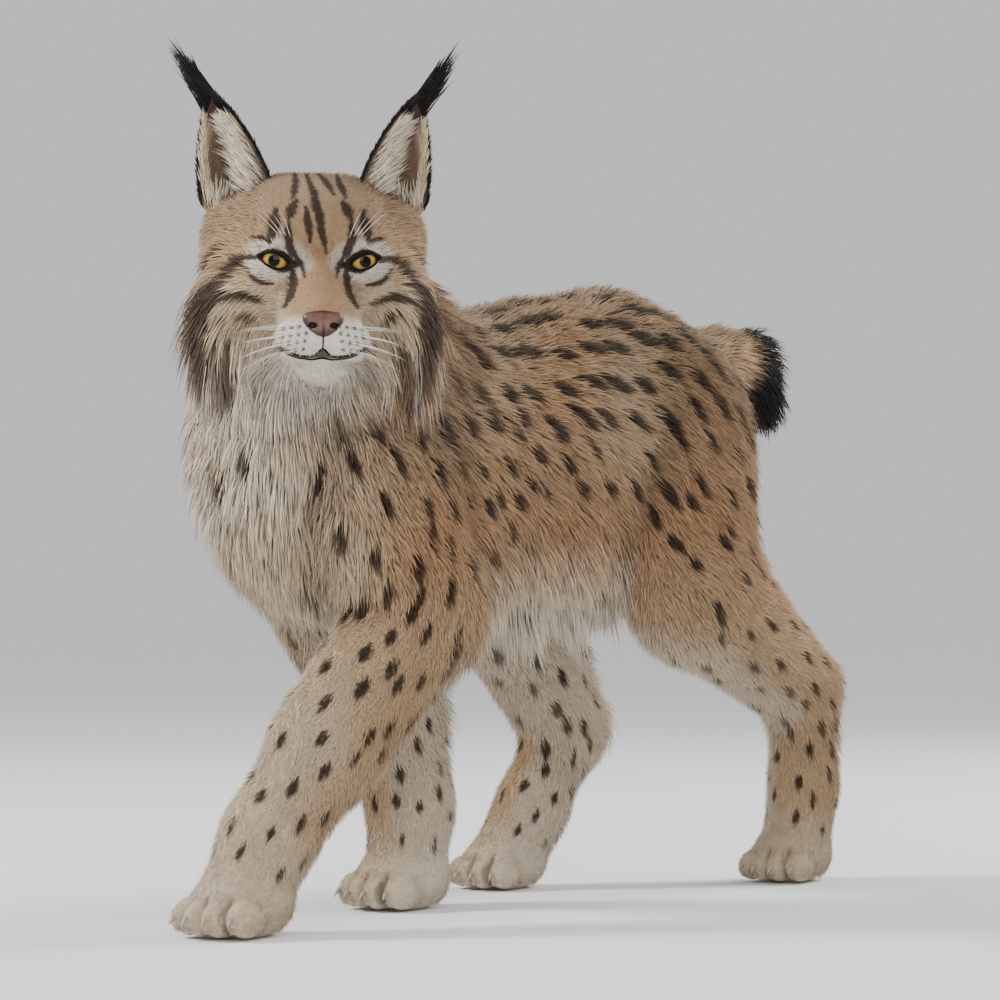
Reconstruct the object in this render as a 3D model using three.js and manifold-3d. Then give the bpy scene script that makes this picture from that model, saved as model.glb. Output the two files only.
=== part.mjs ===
// A life-size Eurasian lynx in winter coat, walking, with its head turned to its left.
// Millimetres. It walks towards -y, its left side is +x, and the floor is z = 0.
import * as THREE from "three";
import { mergeVertices } from "three/addons/utils/BufferGeometryUtils.js";
import Module from "manifold-3d";

const wasm = await Module();
wasm.setup();

const at = (x, y, z) => new THREE.Vector3(x, y, z);
const { clamp, degToRad, lerp } = THREE.MathUtils;
const X = at(1, 0, 0);
const Y = at(0, 1, 0);
const SIDES = { left: 1, right: -1 };

// Driving dimensions, out to the coat.
const GAP = 0.34; // clearance kept between nodes that touch
const CROUP = 665; // height of the highest point of the back
const WITHERS = 622;
const BARREL_DEPTH = 312; // of the ribs, back to underside
const BARREL_BREADTH = 0.72; // of the barrel, over its depth
const HEAD_TURN = degToRad(45); // to its left of the body's line
const HEAD_NOD = degToRad(4); // nose down
const HEAD_CENTRE = at(70, -380, 634);
const EYE_SPACING = 80;
const EYE_RADIUS = 17.5;
const EAR_LENGTH = 112;
const EAR_TUFT = 52;
const PAW = at(53, 68, 38); // half breadth, half length and height of a forepaw
const HIND_PAW_SCALE = 0.94;

// Joint centres of each leg, from the top down, and where its paw stands.
const LEGS = {
  fore_left: {
    joints: [at(74, -292, 430), at(84, -236, 312), at(63, -354, 178), at(51, -424, 92), at(47, -448, 50)],
    paw: at(44, -460, 0),
    splay: 0.06,
  },
  fore_right: {
    joints: [at(-74, -275, 432), at(-84, -172, 316), at(-58, -114, 200), at(-46, -93, 104), at(-39, -108, 50)],
    paw: at(-36, -126, 0),
    splay: -0.08,
  },
  hind_left: {
    joints: [at(52, 232, 492), at(92, 218, 345), at(88, 446, 222), at(83, 464, 110), at(80, 452, 48)],
    paw: at(79, 436, 0),
    splay: 0.05,
  },
  hind_right: {
    joints: [at(-52, 215, 492), at(-96, 118, 345), at(-93, 238, 176), at(-105, 192, 88), at(-114, 168, 46)],
    paw: at(-118, 150, 0),
    splay: -0.06,
  },
};

// A repeatable random draw.
let seed = 20731;
function random(low, high) {
  seed = (Math.imul(seed, 1664525) + 1013904223) >>> 0;
  return lerp(low, high, seed / 4294967296);
}

// Forms: rounded swellings between two points, which blend into one smooth surface.
function bone(from, to, radii, breadth = [1, 1], blend = 30) {
  const shape = breadth.map((wide) => at(wide, 1, 1));
  return { from, along: to.clone().sub(from), radii, shape, blend };
}

function ball(centre, rx, ry, rz, blend = 20) {
  const shape = at(rx / ry, 1, rz / ry);
  return { from: centre, along: at(0, 0.01, 0), radii: [ry, ry], shape: [shape, shape], blend };
}

const offset = at(0, 0, 0);
const squash = at(1, 1, 1);
function distance(forms, point) {
  let nearest = 1e6;
  for (const { from, along, radii, shape, blend } of forms) {
    offset.copy(point).sub(from);
    const t = clamp(offset.dot(along) / along.lengthSq(), 0, 1);
    offset.addScaledVector(along, -t).divide(squash.lerpVectors(shape[0], shape[1], t));
    const reach = offset.length() - lerp(radii[0], radii[1], t);
    const near = Math.max(blend - Math.abs(nearest - reach), 0) / blend;
    nearest = Math.min(nearest, reach) - (near * near * blend) / 4;
  }
  return nearest;
}

function outward(forms, point) {
  const step = 1.5;
  const slope = (axis) =>
    distance(forms, point.clone().addScaledVector(axis, step)) -
    distance(forms, point.clone().addScaledVector(axis, -step));
  return at(slope(at(1, 0, 0)), slope(at(0, 1, 0)), slope(at(0, 0, 1))).normalize();
}

// Where a ray from inside the forms comes out, with grow as extra height over the surface.
function surface(forms, origin, direction, grow = 0, limit = 400) {
  const STRIDE = 5;
  const point = (reach) => origin.clone().addScaledVector(direction, reach);
  let inside = 0;
  while (inside < limit && distance(forms, point(inside + STRIDE)) < grow) inside += STRIDE;
  let outside = inside + STRIDE;
  for (let halving = 0; halving < 16; halving += 1) {
    const middle = (inside + outside) / 2;
    if (distance(forms, point(middle)) < grow) inside = middle;
    else outside = middle;
  }
  return point(Math.min(inside, limit));
}

// Solids, joined and cut.
function solid(geometry) {
  const bare = geometry.index ? geometry.clone() : geometry;
  bare.deleteAttribute("normal");
  bare.deleteAttribute("uv");
  const whole = mergeVertices(bare, 1e-3);
  const corners = [];
  const index = whole.index.array;
  const corner = (i) => new THREE.Vector3().fromBufferAttribute(whole.attributes.position, i);
  let volume = 0;
  for (let i = 0; i < index.length; i += 3) {
    const [a, b, c] = index.subarray(i, i + 3);
    if (a !== b && b !== c && c !== a) corners.push(a, b, c);
    volume += corner(a).dot(corner(b).cross(corner(c)));
  }
  if (volume < 0) corners.reverse();
  return new wasm.Manifold(
    new wasm.Mesh({
      numProp: 3,
      vertProperties: new Float32Array(whole.attributes.position.array),
      triVerts: new Uint32Array(corners),
    }),
  );
}

function largest(piece) {
  const parts = piece.decompose();
  return parts.reduce((best, part) => (part.volume() > best.volume() ? part : best));
}

const joined = (pieces) => pieces.reduce((whole, piece) => whole.add(piece));

function geometryOf(piece) {
  const mesh = piece.getMesh();
  const geometry = new THREE.BufferGeometry();
  geometry.setAttribute("position", new THREE.BufferAttribute(mesh.vertProperties, mesh.numProp));
  geometry.setIndex(new THREE.BufferAttribute(mesh.triVerts, 1));
  return geometry;
}

// Moves each vertex of a primitive through a rule that maps its place to a new one.
function shaped(geometry, rule) {
  const places = geometry.attributes.position;
  for (let i = 0; i < places.count; i += 1) {
    const place = rule(at(places.getX(i), places.getY(i), places.getZ(i)));
    places.setXYZ(i, place.x, place.y, place.z);
  }
  return geometry;
}

// A round-ended tube whose wall is drawn out from a curve on to the forms.
function wrapped(curve, forms, { sides, rings, caps, grow = 0, limit = 400 }) {
  const turn = new THREE.Quaternion();
  return shaped(new THREE.CapsuleGeometry(1, 1, caps, sides, rings), (place) => {
    const along = clamp(place.y, -0.5, 0.5);
    const direction = place.clone().sub(at(0, along, 0)).normalize();
    turn.setFromUnitVectors(at(0, 1, 0), curve.getTangent(along + 0.5));
    return surface(forms, curve.getPoint(along + 0.5), direction.applyQuaternion(turn), grow, limit);
  });
}

// Coat locks: flat, tapered cones that start under the surface, bend along the lie,
// and past their root keep a little above the forms that they lie over.
const LOCK_CLEARANCE = 4;
function lock({ root, normal, lie, length, width, thick, lift = 0.35, droop = 0.25, sink = 9 }, over) {
  const FACES = 4;
  const BENDS = 3;
  const lifted = (point, height) => {
    const lack = height - distance(over, point);
    return lack > 0 ? point.addScaledVector(outward(over, point), lack) : point;
  };
  const start = root.clone().addScaledVector(normal, -sink);
  const rise = lie.clone().addScaledVector(normal, lift).normalize();
  const middle = start.clone().addScaledVector(rise, length * 0.55);
  const end = middle.clone().addScaledVector(lie, length * 0.5).add(at(0, 0, -droop * length));
  lifted(lifted(end, LOCK_CLEARANCE + thick), LOCK_CLEARANCE + thick);
  const curve = new THREE.QuadraticBezierCurve3(start, middle, end);
  return shaped(new THREE.ConeGeometry(1, 1, FACES, BENDS), (place) => {
    const v = clamp(place.y + 0.5, 0, 1);
    const tangent = curve.getTangent(v);
    const across = tangent.clone().cross(normal).normalize();
    const upward = across.clone().cross(tangent);
    const full = v < 0.999 ? (1 - v ** 2) ** 0.8 / (1 - v) : 0;
    const point = curve
      .getPoint(v)
      .addScaledVector(across, place.x * full * width * 0.5)
      .addScaledVector(upward, place.z * full * thick * 0.5);
    return v > 0.5 ? lifted(point, LOCK_CLEARANCE + (place.z * full + 1) * thick * 0.5) : point;
  });
}

// The trunk, with the roots of the legs that swell its sides.
const barrelRadius = BARREL_DEPTH / 2;
const shoulderLine = WITHERS - barrelRadius;
const croupLine = CROUP - barrelRadius;
const trunkForms = [
  bone(at(0, -205, shoulderLine - 8), at(0, 60, shoulderLine + 22), [barrelRadius, 152], [0.73, 0.71], 60),
  bone(at(0, 60, shoulderLine + 22), at(0, 200, croupLine), [152, 155], [BARREL_BREADTH, 0.7], 50),
  bone(at(0, 200, croupLine), at(0, 262, croupLine + 12), [154, 114], [0.72, 0.88], 50),
  bone(at(0, -205, 400), at(0, -298, 462), [106, 116], [0.82, 0.86], 70),
  bone(at(0, -215, 510), at(22, -318, 566), [122, 104], [0.84, 0.9], 70),
];
for (const [name, { joints }] of Object.entries(LEGS)) {
  const [top, bend] = joints;
  const fore = name.startsWith("fore");
  const blade = fore ? at(top.x * 0.78, top.y + 95, 545) : top;
  const reach = top.clone().lerp(bend, fore ? 0.3 : 0.45);
  const radii = fore ? [66, 88] : [126, 112];
  trunkForms.push(bone(blade, reach, radii, [0.6, 0.62], 45));
}

const neckForms = [
  bone(at(0, -215, 510), at(22, -318, 566), [122, 104], [0.84, 0.9], 70),
  bone(at(22, -318, 566), at(44, -352, 606), [104, 92], [0.9, 0.94], 40),
];

const trunkLine = new THREE.CatmullRomCurve3([
  at(0, -282, 468),
  at(0, -200, 462),
  at(0, 60, 486),
  at(0, 215, 508),
  at(0, 258, 522),
]);
const neckLine = new THREE.LineCurve3(at(4, -232, 518), at(44, -352, 606));
const tailLine = new THREE.CatmullRomCurve3([
  at(0, 330, 590),
  at(1, 402, 604),
  at(3, 462, 602),
  at(5, 490, 562),
]);
const tailForms = [
  bone(at(0, 320, 588), at(1, 402, 604), [46, 38], [0.95, 0.95], 20),
  bone(at(1, 402, 604), at(3, 462, 602), [38, 38], [0.95, 0.95], 20),
  bone(at(3, 462, 602), at(5, 490, 560), [38, 32], [0.95, 0.95], 20),
];

// Each leg: the upper bone, the middle bone, and the tube down to the paw.
function legForms(name) {
  const [top, bend, low, ankle, instep] = LEGS[name].joints;
  if (name.startsWith("fore")) {
    return {
      upper: [bone(top, bend, [86, 74], [0.62, 0.66])],
      lower: [
        bone(bend, low, [77, 63], [0.68, 0.78], 20),
        bone(low, ankle, [63, 50], [0.78, 0.88], 20),
        bone(ankle, instep, [50, 46], [0.88, 0.96], 20),
      ],
    };
  }
  const heel = low.clone().add(at(0, 26, 6));
  return {
    upper: [bone(top, bend, [120, 94], [0.6, 0.62])],
    middle: [bone(bend, low, [90, 54], [0.62, 0.8])],
    lower: [
      bone(heel, low, [36, 48], [0.8, 0.8], 20),
      bone(low, ankle, [48, 47], [0.78, 0.8], 20),
      bone(ankle, instep, [47, 45], [0.8, 0.92], 20),
    ],
  };
}

function pawForms(name) {
  const { paw, splay } = LEGS[name];
  const scale = name.startsWith("fore") ? 1 : HIND_PAW_SCALE;
  const pieces = [{ centre: at(0, 6, 30), radii: at(PAW.x * 0.93, PAW.y * 0.86, PAW.z) }];
  const TOES = 4;
  for (let toe = 0; toe < TOES; toe += 1) {
    const across = (toe - (TOES - 1) / 2) / 1.5;
    const back = 11 * across * across;
    pieces.push({ centre: at(across * 34, -38 + back, 21), radii: at(15.5, 28, 23) });
  }
  const turned = new THREE.Matrix4().makeRotationZ(splay);
  turned.setPosition(paw);
  return pieces.map(({ centre, radii }, i) => {
    const round = i === 0 ? new THREE.SphereGeometry(1, 11, 6) : new THREE.SphereGeometry(1, 6, 5);
    round.rotateX(Math.PI / 2);
    round.scale(radii.x * scale, radii.y * scale, radii.z * scale);
    const middle = centre.multiplyScalar(scale);
    return round.translate(middle.x, middle.y, middle.z).applyMatrix4(turned);
  });
}

// The head, in its own frame: the face looks along -y, and z is up.
const eyeAt = (side) => at((side * EYE_SPACING) / 2, -50, 10);
const both = (make) => Object.values(SIDES).map(make);
const headForms = [
  ...both((side) => ball(at(side * 21, 22, 36), 60, 78, 67, 20)),
  ball(at(0, -34, 46), 54, 36, 34, 25),
  ...both((side) => ball(at(side * 76, 20, 42), 33, 36, 36, 25)),
  ...both((side) => ball(at(side * 50, -19, -8), 46, 46, 48, 25)),
  ...both((side) => ball(at(side * 70, 16, -38), 42, 46, 68, 30)),
  bone(at(0, -70, -84), at(0, 0, -84), [24, 46], [1.1, 1.3], 20),
  bone(at(0, -50, -30), at(0, -90, -54), [40, 35], [1.1, 1.08], 20),
  ...both((side) => ball(at(side * 21, -101, -66), 26, 26, 22, 8)),
  bone(at(0, -38, 20), at(0, -106, -37), [21, 15], [1.05, 1.1], 14),
  ball(at(0, -88, -93), 25, 23, 17, 10),
  ...both((side) => ball(at(side * 38, -46, 32), 26, 20, 12, 14)),
];
const headCore = at(0, -26, -14);
const FACE_CROWDING = 1.25; // draws the rings of the head towards its face

const headPlace = new THREE.Matrix4()
  .makeRotationFromEuler(new THREE.Euler(HEAD_NOD, 0, HEAD_TURN, "ZYX"))
  .setPosition(HEAD_CENTRE);
const headHome = headPlace.clone().invert();

function headShell(grow) {
  const sphere = new THREE.SphereGeometry(1, 28, 18).rotateX(-Math.PI / 2);
  return shaped(sphere, (place) => {
    const angle = Math.acos(clamp(-place.y, -1, 1));
    const turned = Math.PI * (angle / Math.PI) ** FACE_CROWDING;
    const ring = Math.hypot(place.x, place.z) || 1;
    const [across, up] = [place.x, place.z].map((part) => (part / ring) * Math.sin(turned));
    return surface(headForms, headCore, at(across, -Math.cos(turned), up).normalize(), grow);
  });
}

// Lids: a ball round the eye, opened by an almond.
function almond() {
  const HALF = 16;
  const shape = new THREE.Shape();
  shape.moveTo(-HALF, -3);
  shape.quadraticCurveTo(-2, 19, HALF, 3.5);
  shape.quadraticCurveTo(1, -15, -HALF, -3);
  const prism = new THREE.ExtrudeGeometry(shape, { depth: 30, bevelEnabled: false, curveSegments: 5 });
  return prism.translate(0, 0, 7);
}

function eyeTurn(side) {
  const looking = at(side * 0.2, -1, -0.02).normalize();
  const across = at(side, 0, 0).cross(looking).cross(looking).negate().normalize();
  const upright = looking.clone().cross(across).multiplyScalar(side);
  const basis = new THREE.Matrix4().makeBasis(across, upright.z > 0 ? upright : upright.negate(), looking);
  return basis.setPosition(eyeAt(side));
}

function sphereSolid(centre, radius, sides = 20) {
  return solid(new THREE.SphereGeometry(radius, sides, sides * 0.7).translate(centre.x, centre.y, centre.z));
}

// A cord laid on the head along a path seen from the front, for grooves and lips.
function ridge(points, radius, height) {
  const path = new THREE.CatmullRomCurve3(
    points.map(([x, z]) => {
      const origin = at(x * 0.55, -40, z * 0.8 - 6);
      const direction = at(x, -104, z).sub(origin).normalize();
      const place = surface(headForms, origin, direction);
      return place.addScaledVector(outward(headForms, place), height);
    }),
  );
  const section = new THREE.Shape();
  section.absarc(0, 0, radius, 0, Math.PI * 2);
  return solid(
    new THREE.ExtrudeGeometry(section, { steps: points.length * 2, curveSegments: 3, extrudePath: path }),
  );
}

const mouthLine = [
  [-38, -66],
  [-27, -74],
  [-12, -80],
  [0, -75],
  [12, -80],
  [27, -74],
  [38, -66],
];
const lower = (points, drop) => points.map(([x, z]) => [x, z - drop]);

function headSolid() {
  let head = solid(headShell(0));
  for (const side of Object.values(SIDES)) {
    head = head.add(sphereSolid(eyeAt(side), EYE_RADIUS + 3, 12));
  }
  head = head.add(ridge(lower(mouthLine, 5), 3.2, -1));
  head = head.subtract(ridge(mouthLine, 2.4, 0.4));
  head = head.subtract(ridge([[0, -58], [0, -66], [0, -75]], 1.8, 0.6));
  for (const side of Object.values(SIDES)) {
    const opening = almond();
    if (side < 0) opening.scale(-1, 1, 1);
    head = head.subtract(solid(opening.applyMatrix4(eyeTurn(side))));
    head = head.subtract(sphereSolid(eyeAt(side), EYE_RADIUS + GAP, 12));
  }
  return largest(head);
}

// The nose leather, wider above, with a nostril on each side.
const NOSE = at(17, 11, 12);
const noseCentre = at(0, -123, -45);
function noseSolid() {
  const body = shaped(new THREE.SphereGeometry(1, 11, 7), (place) => {
    const wide = NOSE.x * (1 + 0.32 * place.z);
    return at(place.x * wide, place.y * NOSE.y, place.z * NOSE.z).add(noseCentre);
  });
  let nose = solid(body).subtract(solid(headShell(GAP)));
  for (const side of Object.values(SIDES)) {
    const nostril = new THREE.SphereGeometry(1, 8, 6).scale(4.6, 6, 2.8).rotateY(side * 0.5);
    nostril.translate(side * 9, noseCentre.y - 10, noseCentre.z - 2);
    nose = nose.subtract(solid(nostril));
  }
  return largest(nose);
}

// An ear: a sheet bent into a cup that narrows to its tip.
function earFrame(side) {
  const base = at(side * 69, 22, 62);
  const tip = at(side * 99, 16, 62 + EAR_LENGTH * 0.95);
  const axis = tip.clone().sub(base).normalize();
  const open = at(side * 0.3, -0.94, 0.1);
  open.addScaledVector(axis, -open.dot(axis)).normalize();
  const across = axis.clone().cross(open).normalize();
  return { base, tip, axis, open, across };
}

function earPoint(side, a, v, depth) {
  const { base, axis, open, across } = earFrame(side);
  const half = 36 * (1 - v ** 1.9) ** 0.85 + 1.2;
  const cup = 30 * (1 - v) ** 0.8 * (1 - a * a) + 4 * v;
  return base
    .clone()
    .addScaledVector(axis, v * EAR_LENGTH)
    .addScaledVector(across, a * half)
    .addScaledVector(open, depth - cup + 12 * (1 - v));
}

function earSheet(side) {
  const THICK = 5;
  const sheet = shaped(new THREE.BoxGeometry(2, 1, 1, 6, 1, 5), (place) => {
    const v = place.z + 0.5;
    const thin = THICK * (1 - 0.55 * v) * (1 - 0.35 * place.x * place.x);
    return earPoint(side, place.x, v, -place.y * thin);
  });
  return solid(sheet);
}

// Parting cuts: a thin slab set across a joint, or a tray whose rim also cuts its edges free.
function block(centre, normal, sideways, [wide, deep], low, high) {
  const face = normal.clone().normalize();
  const first = sideways.clone().addScaledVector(face, -sideways.dot(face)).normalize();
  const basis = new THREE.Matrix4().makeBasis(first, face, first.clone().cross(face));
  const box = new THREE.BoxGeometry(wide, high - low, deep).translate(0, (low + high) / 2, 0);
  return solid(box.applyMatrix4(basis.setPosition(centre)));
}

function slab(centre, normal, sideways, size) {
  return block(centre, normal, sideways, size, 0, GAP);
}

function tray(centre, normal, sideways, [wide, deep], rim) {
  const inner = [wide - 2 * GAP, deep - 2 * GAP];
  const outer = block(centre, normal, sideways, [wide, deep], 0, rim);
  return outer.subtract(block(centre, normal, sideways, inner, GAP, rim + 1));
}

const FLOOR = new THREE.BoxGeometry(900, 1500, 200).translate(0, 0, -100);

function trunkAndNeck(grow) {
  return [
    solid(wrapped(trunkLine, trunkForms, { sides: 22, rings: 14, caps: 4, grow })),
    solid(wrapped(neckLine, neckForms, { sides: 18, rings: 3, caps: 3, grow: grow - 1.5 })),
  ];
}

function wholeBody() {
  const pieces = [
    ...trunkAndNeck(0),
    solid(wrapped(tailLine, tailForms, { sides: 12, rings: 7, caps: 3, limit: 50 })),
  ];
  for (const name of Object.keys(LEGS)) {
    const [top, bend, low, ankle, instep] = LEGS[name].joints;
    const forms = legForms(name);
    const tube = { sides: 10, rings: 4, caps: 2 };
    pieces.push(solid(wrapped(new THREE.LineCurve3(top, bend), forms.upper, { ...tube, grow: -2 })));
    const down = [low, ankle, instep];
    if (forms.middle) {
      pieces.push(solid(wrapped(new THREE.LineCurve3(bend, low), forms.middle, tube)));
      down.unshift(low.clone().add(at(0, 18, 10)));
    } else {
      down.unshift(bend);
    }
    const tubeLine = new THREE.CatmullRomCurve3(down);
    pieces.push(solid(wrapped(tubeLine, forms.lower, { ...tube, rings: 6, limit: 80 })));
    pieces.push(...pawForms(name).map(solid));
  }
  const head = solid(headShell(GAP).applyMatrix4(headPlace));
  return joined(pieces).subtract(solid(FLOOR)).subtract(head);
}

// Each node of the body: a point inside it, and the cuts that part it from its neighbours.
function bodyNodes() {
  const nodes = { torso: at(0, 60, 480), neck: at(-20, -290, 560), tail: at(3, 455, 600) };
  const cuts = [slab(at(0, -300, 512), at(0, -0.66, 0.75), X, [420, 390])];
  cuts.push(slab(at(0, 380, 602), at(0, 1, 0.06), X, [110, 100]));
  for (const [limb, side] of Object.entries(SIDES)) {
    const fore = LEGS[`fore_${limb}`].joints;
    const hind = LEGS[`hind_${limb}`].joints;
    const armpit = (fore[0].y + fore[1].y) / 2;
    cuts.push(tray(at(side * 92, armpit, 348), at(side * 0.72, 0, -0.69), Y, [310, 230], 40));
    cuts.push(slab(fore[3], fore[4].clone().sub(fore[2]), X, [140, 150]));
    const groin = (hind[0].y + hind[1].y) / 2;
    cuts.push(tray(at(side * 84, groin + 20, 406), at(side * 0.76, 0, -0.65), Y, [320, 260], 50));
    const shin = hind[2].clone().sub(hind[1]).normalize();
    const thigh = hind[1].clone().sub(hind[0]).normalize();
    cuts.push(slab(hind[1].clone().add(at(0, 6, -12)), shin.clone().add(thigh), X, [170, 330]));
    const cannon = hind[3].clone().sub(hind[2]).normalize();
    cuts.push(slab(hind[2], shin.clone().add(cannon), X, [140, 180]));
    nodes[`foreleg_${limb}`] = fore[2];
    nodes[`forepaw_${limb}`] = at(fore[4].x, fore[4].y, 30);
    nodes[`thigh_${limb}`] = hind[1];
    nodes[`shank_${limb}`] = hind[1].clone().lerp(hind[2], 0.7);
    nodes[`hindpaw_${limb}`] = hind[3];
  }
  const parts = cuts.reduce((rest, cut) => rest.subtract(cut), wholeBody()).decompose();
  const found = {};
  for (const [name, inside] of Object.entries(nodes)) {
    const probe = sphereSolid(inside, 5, 6);
    const piece = parts.find((part) => part.intersect(probe).volume() > 1);
    found[name] = largest(solid(geometryOf(piece)));
  }
  return found;
}

// The coat that hangs clear of the body. A lock that would run into another node is left out.
const body = bodyNodes();
const bodyForms = [...trunkForms, ...neckForms, ...tailForms];
for (const name of Object.keys(LEGS)) bodyForms.push(...Object.values(legForms(name)).flat());
const coats = { head: [] };
for (const [name, piece] of Object.entries(body)) coats[name] = [piece];

const headWorld = solid(headShell(0).applyMatrix4(headPlace));
const underRuff = joined(trunkAndNeck(2 * GAP)).subtract(headWorld);

function attach(node, spec) {
  let piece = solid(lock(spec, bodyForms));
  if (node === "head") piece = piece.subtract(underRuff);
  const clear = Object.entries(coats).every(([name, others]) => {
    return name === node || others.every((other) => other.intersect(piece).isEmpty());
  });
  if (clear) coats[node].push(piece);
}

function hang(node, forms, origin, direction, lie, size) {
  const root = surface(forms, origin, direction.normalize());
  const normal = outward(forms, root);
  const loose = lie.clone().add(at(random(-0.12, 0.12), random(-0.12, 0.12), random(-0.08, 0.08)));
  const length = size.length * random(0.85, 1.15);
  attach(node, { root, normal, lie: loose.normalize(), ...size, length });
}

function throatLocks() {
  const size = { length: 64, width: 50, thick: 9, lift: 0.36, droop: 0.08 };
  const neckCut = at(0, -0.66, 0.75);
  for (const pitch of [-4, -26, -48]) {
    for (const yaw of [-56, -30, -4, 22, 48]) {
      const [turn, dip] = [degToRad(yaw + pitch * 0.2), degToRad(pitch)];
      const out = at(Math.sin(turn) * Math.cos(dip), -Math.cos(turn) * Math.cos(dip), Math.sin(dip));
      const root = surface(trunkForms, trunkLine.getPoint(0), out);
      const above = root.sub(at(0, -300, 512)).dot(neckCut);
      if (Math.abs(above) < 14) continue;
      const lie = at(out.x * 0.25, -0.1, -1);
      hang(above > 0 ? "neck" : "torso", trunkForms, trunkLine.getPoint(0), out, lie, size);
    }
  }
}

function bellyLocks() {
  const size = { length: 56, width: 46, thick: 9, lift: 0.6, droop: 0.1 };
  for (let row = 0; row < 8; row += 1) {
    for (const across of [-1, 0, 1]) {
      const y = -196 + row * 44 + (across === 0 ? 22 : 0);
      const out = at(across * 0.34, 0, -1);
      hang("torso", trunkForms, at(0, y, 450), out, at(across * 0.2, 0.5, -0.85), size);
    }
  }
}

function legLocks(limb, side) {
  const fore = legForms(`fore_${limb}`);
  const [, elbow, low] = LEGS[`fore_${limb}`].joints;
  const arm = low.clone().sub(elbow).normalize();
  for (const along of [0.15, 0.45]) {
    for (const lean of [-0.5, 0.4]) {
      const size = { length: 44, width: 30, thick: 7, lift: 0.45, droop: 0.05 };
      const lie = arm.clone().add(at(0, 0.55, 0));
      const origin = elbow.clone().lerp(low, along);
      hang(`foreleg_${limb}`, fore.lower, origin, at(lean * side, 0.9, -0.35), lie, size);
    }
  }
  const hind = legForms(`hind_${limb}`);
  const [hip, knee, hock] = LEGS[`hind_${limb}`].joints;
  const size = { length: 48, width: 36, thick: 7, lift: 0.45, droop: 0.08 };
  for (const along of [0.42, 0.62, 0.82]) {
    const origin = knee.clone().lerp(hock, along);
    const shin = hock.clone().sub(knee).normalize();
    const front = at(0.15 * side, shin.z, -shin.y);
    const lie = shin.clone().addScaledVector(front, 0.5).add(at(0, 0, -0.3));
    hang(`shank_${limb}`, hind.middle, origin, front, lie, size);
    const back = at(0.2 * side, -shin.z, shin.y);
    hang(`shank_${limb}`, hind.middle, origin, back, at(0, 0.2, -1), { ...size, length: 38 });
  }
  for (const along of [0.62, 0.9]) {
    const origin = hip.clone().lerp(knee, along);
    hang(`thigh_${limb}`, hind.upper, origin, at(0.2 * side, 1, -0.2), at(0, 0.35, -1), size);
    hang(`thigh_${limb}`, hind.upper, origin, at(0.2 * side, -1, -0.3), at(0, -0.25, -1), size);
  }
}

function tailLocks() {
  const size = { length: 40, width: 30, thick: 7, lift: 0.4, droop: 0.15 };
  for (const along of [0.55, 0.78, 0.97]) {
    const tangent = tailLine.getTangent(along);
    for (let turn = 0; turn < 4; turn += 1) {
      const angle = (turn / 4 + along) * Math.PI * 2;
      const upward = X.clone().cross(tangent);
      const out = X.clone().multiplyScalar(Math.cos(angle)).addScaledVector(upward, Math.sin(angle));
      hang("tail", tailForms, tailLine.getPoint(along), out, tangent.clone(), size);
    }
  }
}

// The ruff: rows of locks from below the ear round to the throat, the front row the shorter.
const RUFF_ROWS = [
  { count: 7, back: [0.35, -0.15], length: 66 },
  { count: 6, back: [-0.12, -0.5], length: 54 },
];
function ruffLocks() {
  const turned = (v) => v.clone().transformDirection(headPlace);
  const grow = (direction, lie, size) => {
    const root = surface(headForms, at(0, 8, -28), direction.normalize());
    const normal = turned(outward(headForms, root));
    attach("head", { root: root.applyMatrix4(headPlace), normal, lie: turned(lie.normalize()), ...size });
  };
  for (const side of Object.values(SIDES)) {
    for (const { count, back, length } of RUFF_ROWS) {
      for (let i = 0; i < count; i += 1) {
        const low = i / (count - 1);
        const angle = degToRad(lerp(14, -66, low) + random(-3, 3));
        const direction = at(side * Math.cos(angle), lerp(...back, low), Math.sin(angle));
        const lie = at(side * lerp(0.55, -0.05, low), lerp(0.3, -0.15, low), -1);
        const reach = length * (0.8 + 0.4 * low) * random(0.92, 1.1);
        grow(direction, lie, { length: reach, width: 44, thick: 12, lift: 0.35, droop: 0.06, sink: 10 });
      }
    }
  }
  for (const [across, back] of [[-0.34, -0.7], [0.02, -0.75], [0.36, -0.7]]) {
    const size = { length: 40 * random(0.9, 1.1), width: 34, thick: 9, lift: 0.2, droop: 0.1 };
    grow(at(across, back, -1), at(across * 0.3, 0.1, -1), size);
  }
}

// Each ear's tuft, and the fur of the rims that crosses the cup.
function earLocks(side) {
  const { axis, open, across } = earFrame(side);
  const locks = [];
  const tuft = { width: 14, thick: 5, lift: 0, droop: -0.1, sink: 0 };
  for (const spread of [-0.4, -0.15, 0.12, 0.4]) {
    const root = earPoint(side, spread * 0.4, 0.84, 0);
    const lie = axis.clone().addScaledVector(across, spread * 0.5).addScaledVector(X, side * 0.4);
    const length = (EAR_TUFT + EAR_LENGTH * 0.16) * random(0.82, 1.05);
    locks.push(lock({ root, normal: open, lie: lie.normalize(), length, ...tuft }, []));
  }
  const rim = { length: 34, width: 13, thick: 4.5, lift: 0.3, droop: 0, sink: 1.5 };
  for (const edge of [-1, 1]) {
    for (const up of edge * side > 0 ? [0.45] : [0.32, 0.56]) {
      const root = earPoint(side, edge * 0.74, up, 0);
      const lie = axis.clone().addScaledVector(across, -edge * 0.9).addScaledVector(open, 0.3);
      locks.push(lock({ root, normal: open, lie: lie.normalize(), ...rim }, []));
    }
  }
  return locks.map(solid);
}

ruffLocks();
throatLocks();
bellyLocks();
for (const [limb, side] of Object.entries(SIDES)) legLocks(limb, side);
tailLocks();

const model = new THREE.Group();

function addNode(parent, name, pieces, color, roughness) {
  const material = new THREE.MeshStandardMaterial({ color, roughness, metalness: 0 });
  const mesh = new THREE.Mesh(geometryOf(largest(joined(pieces))), material);
  mesh.name = name;
  parent.add(mesh);
}

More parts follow.
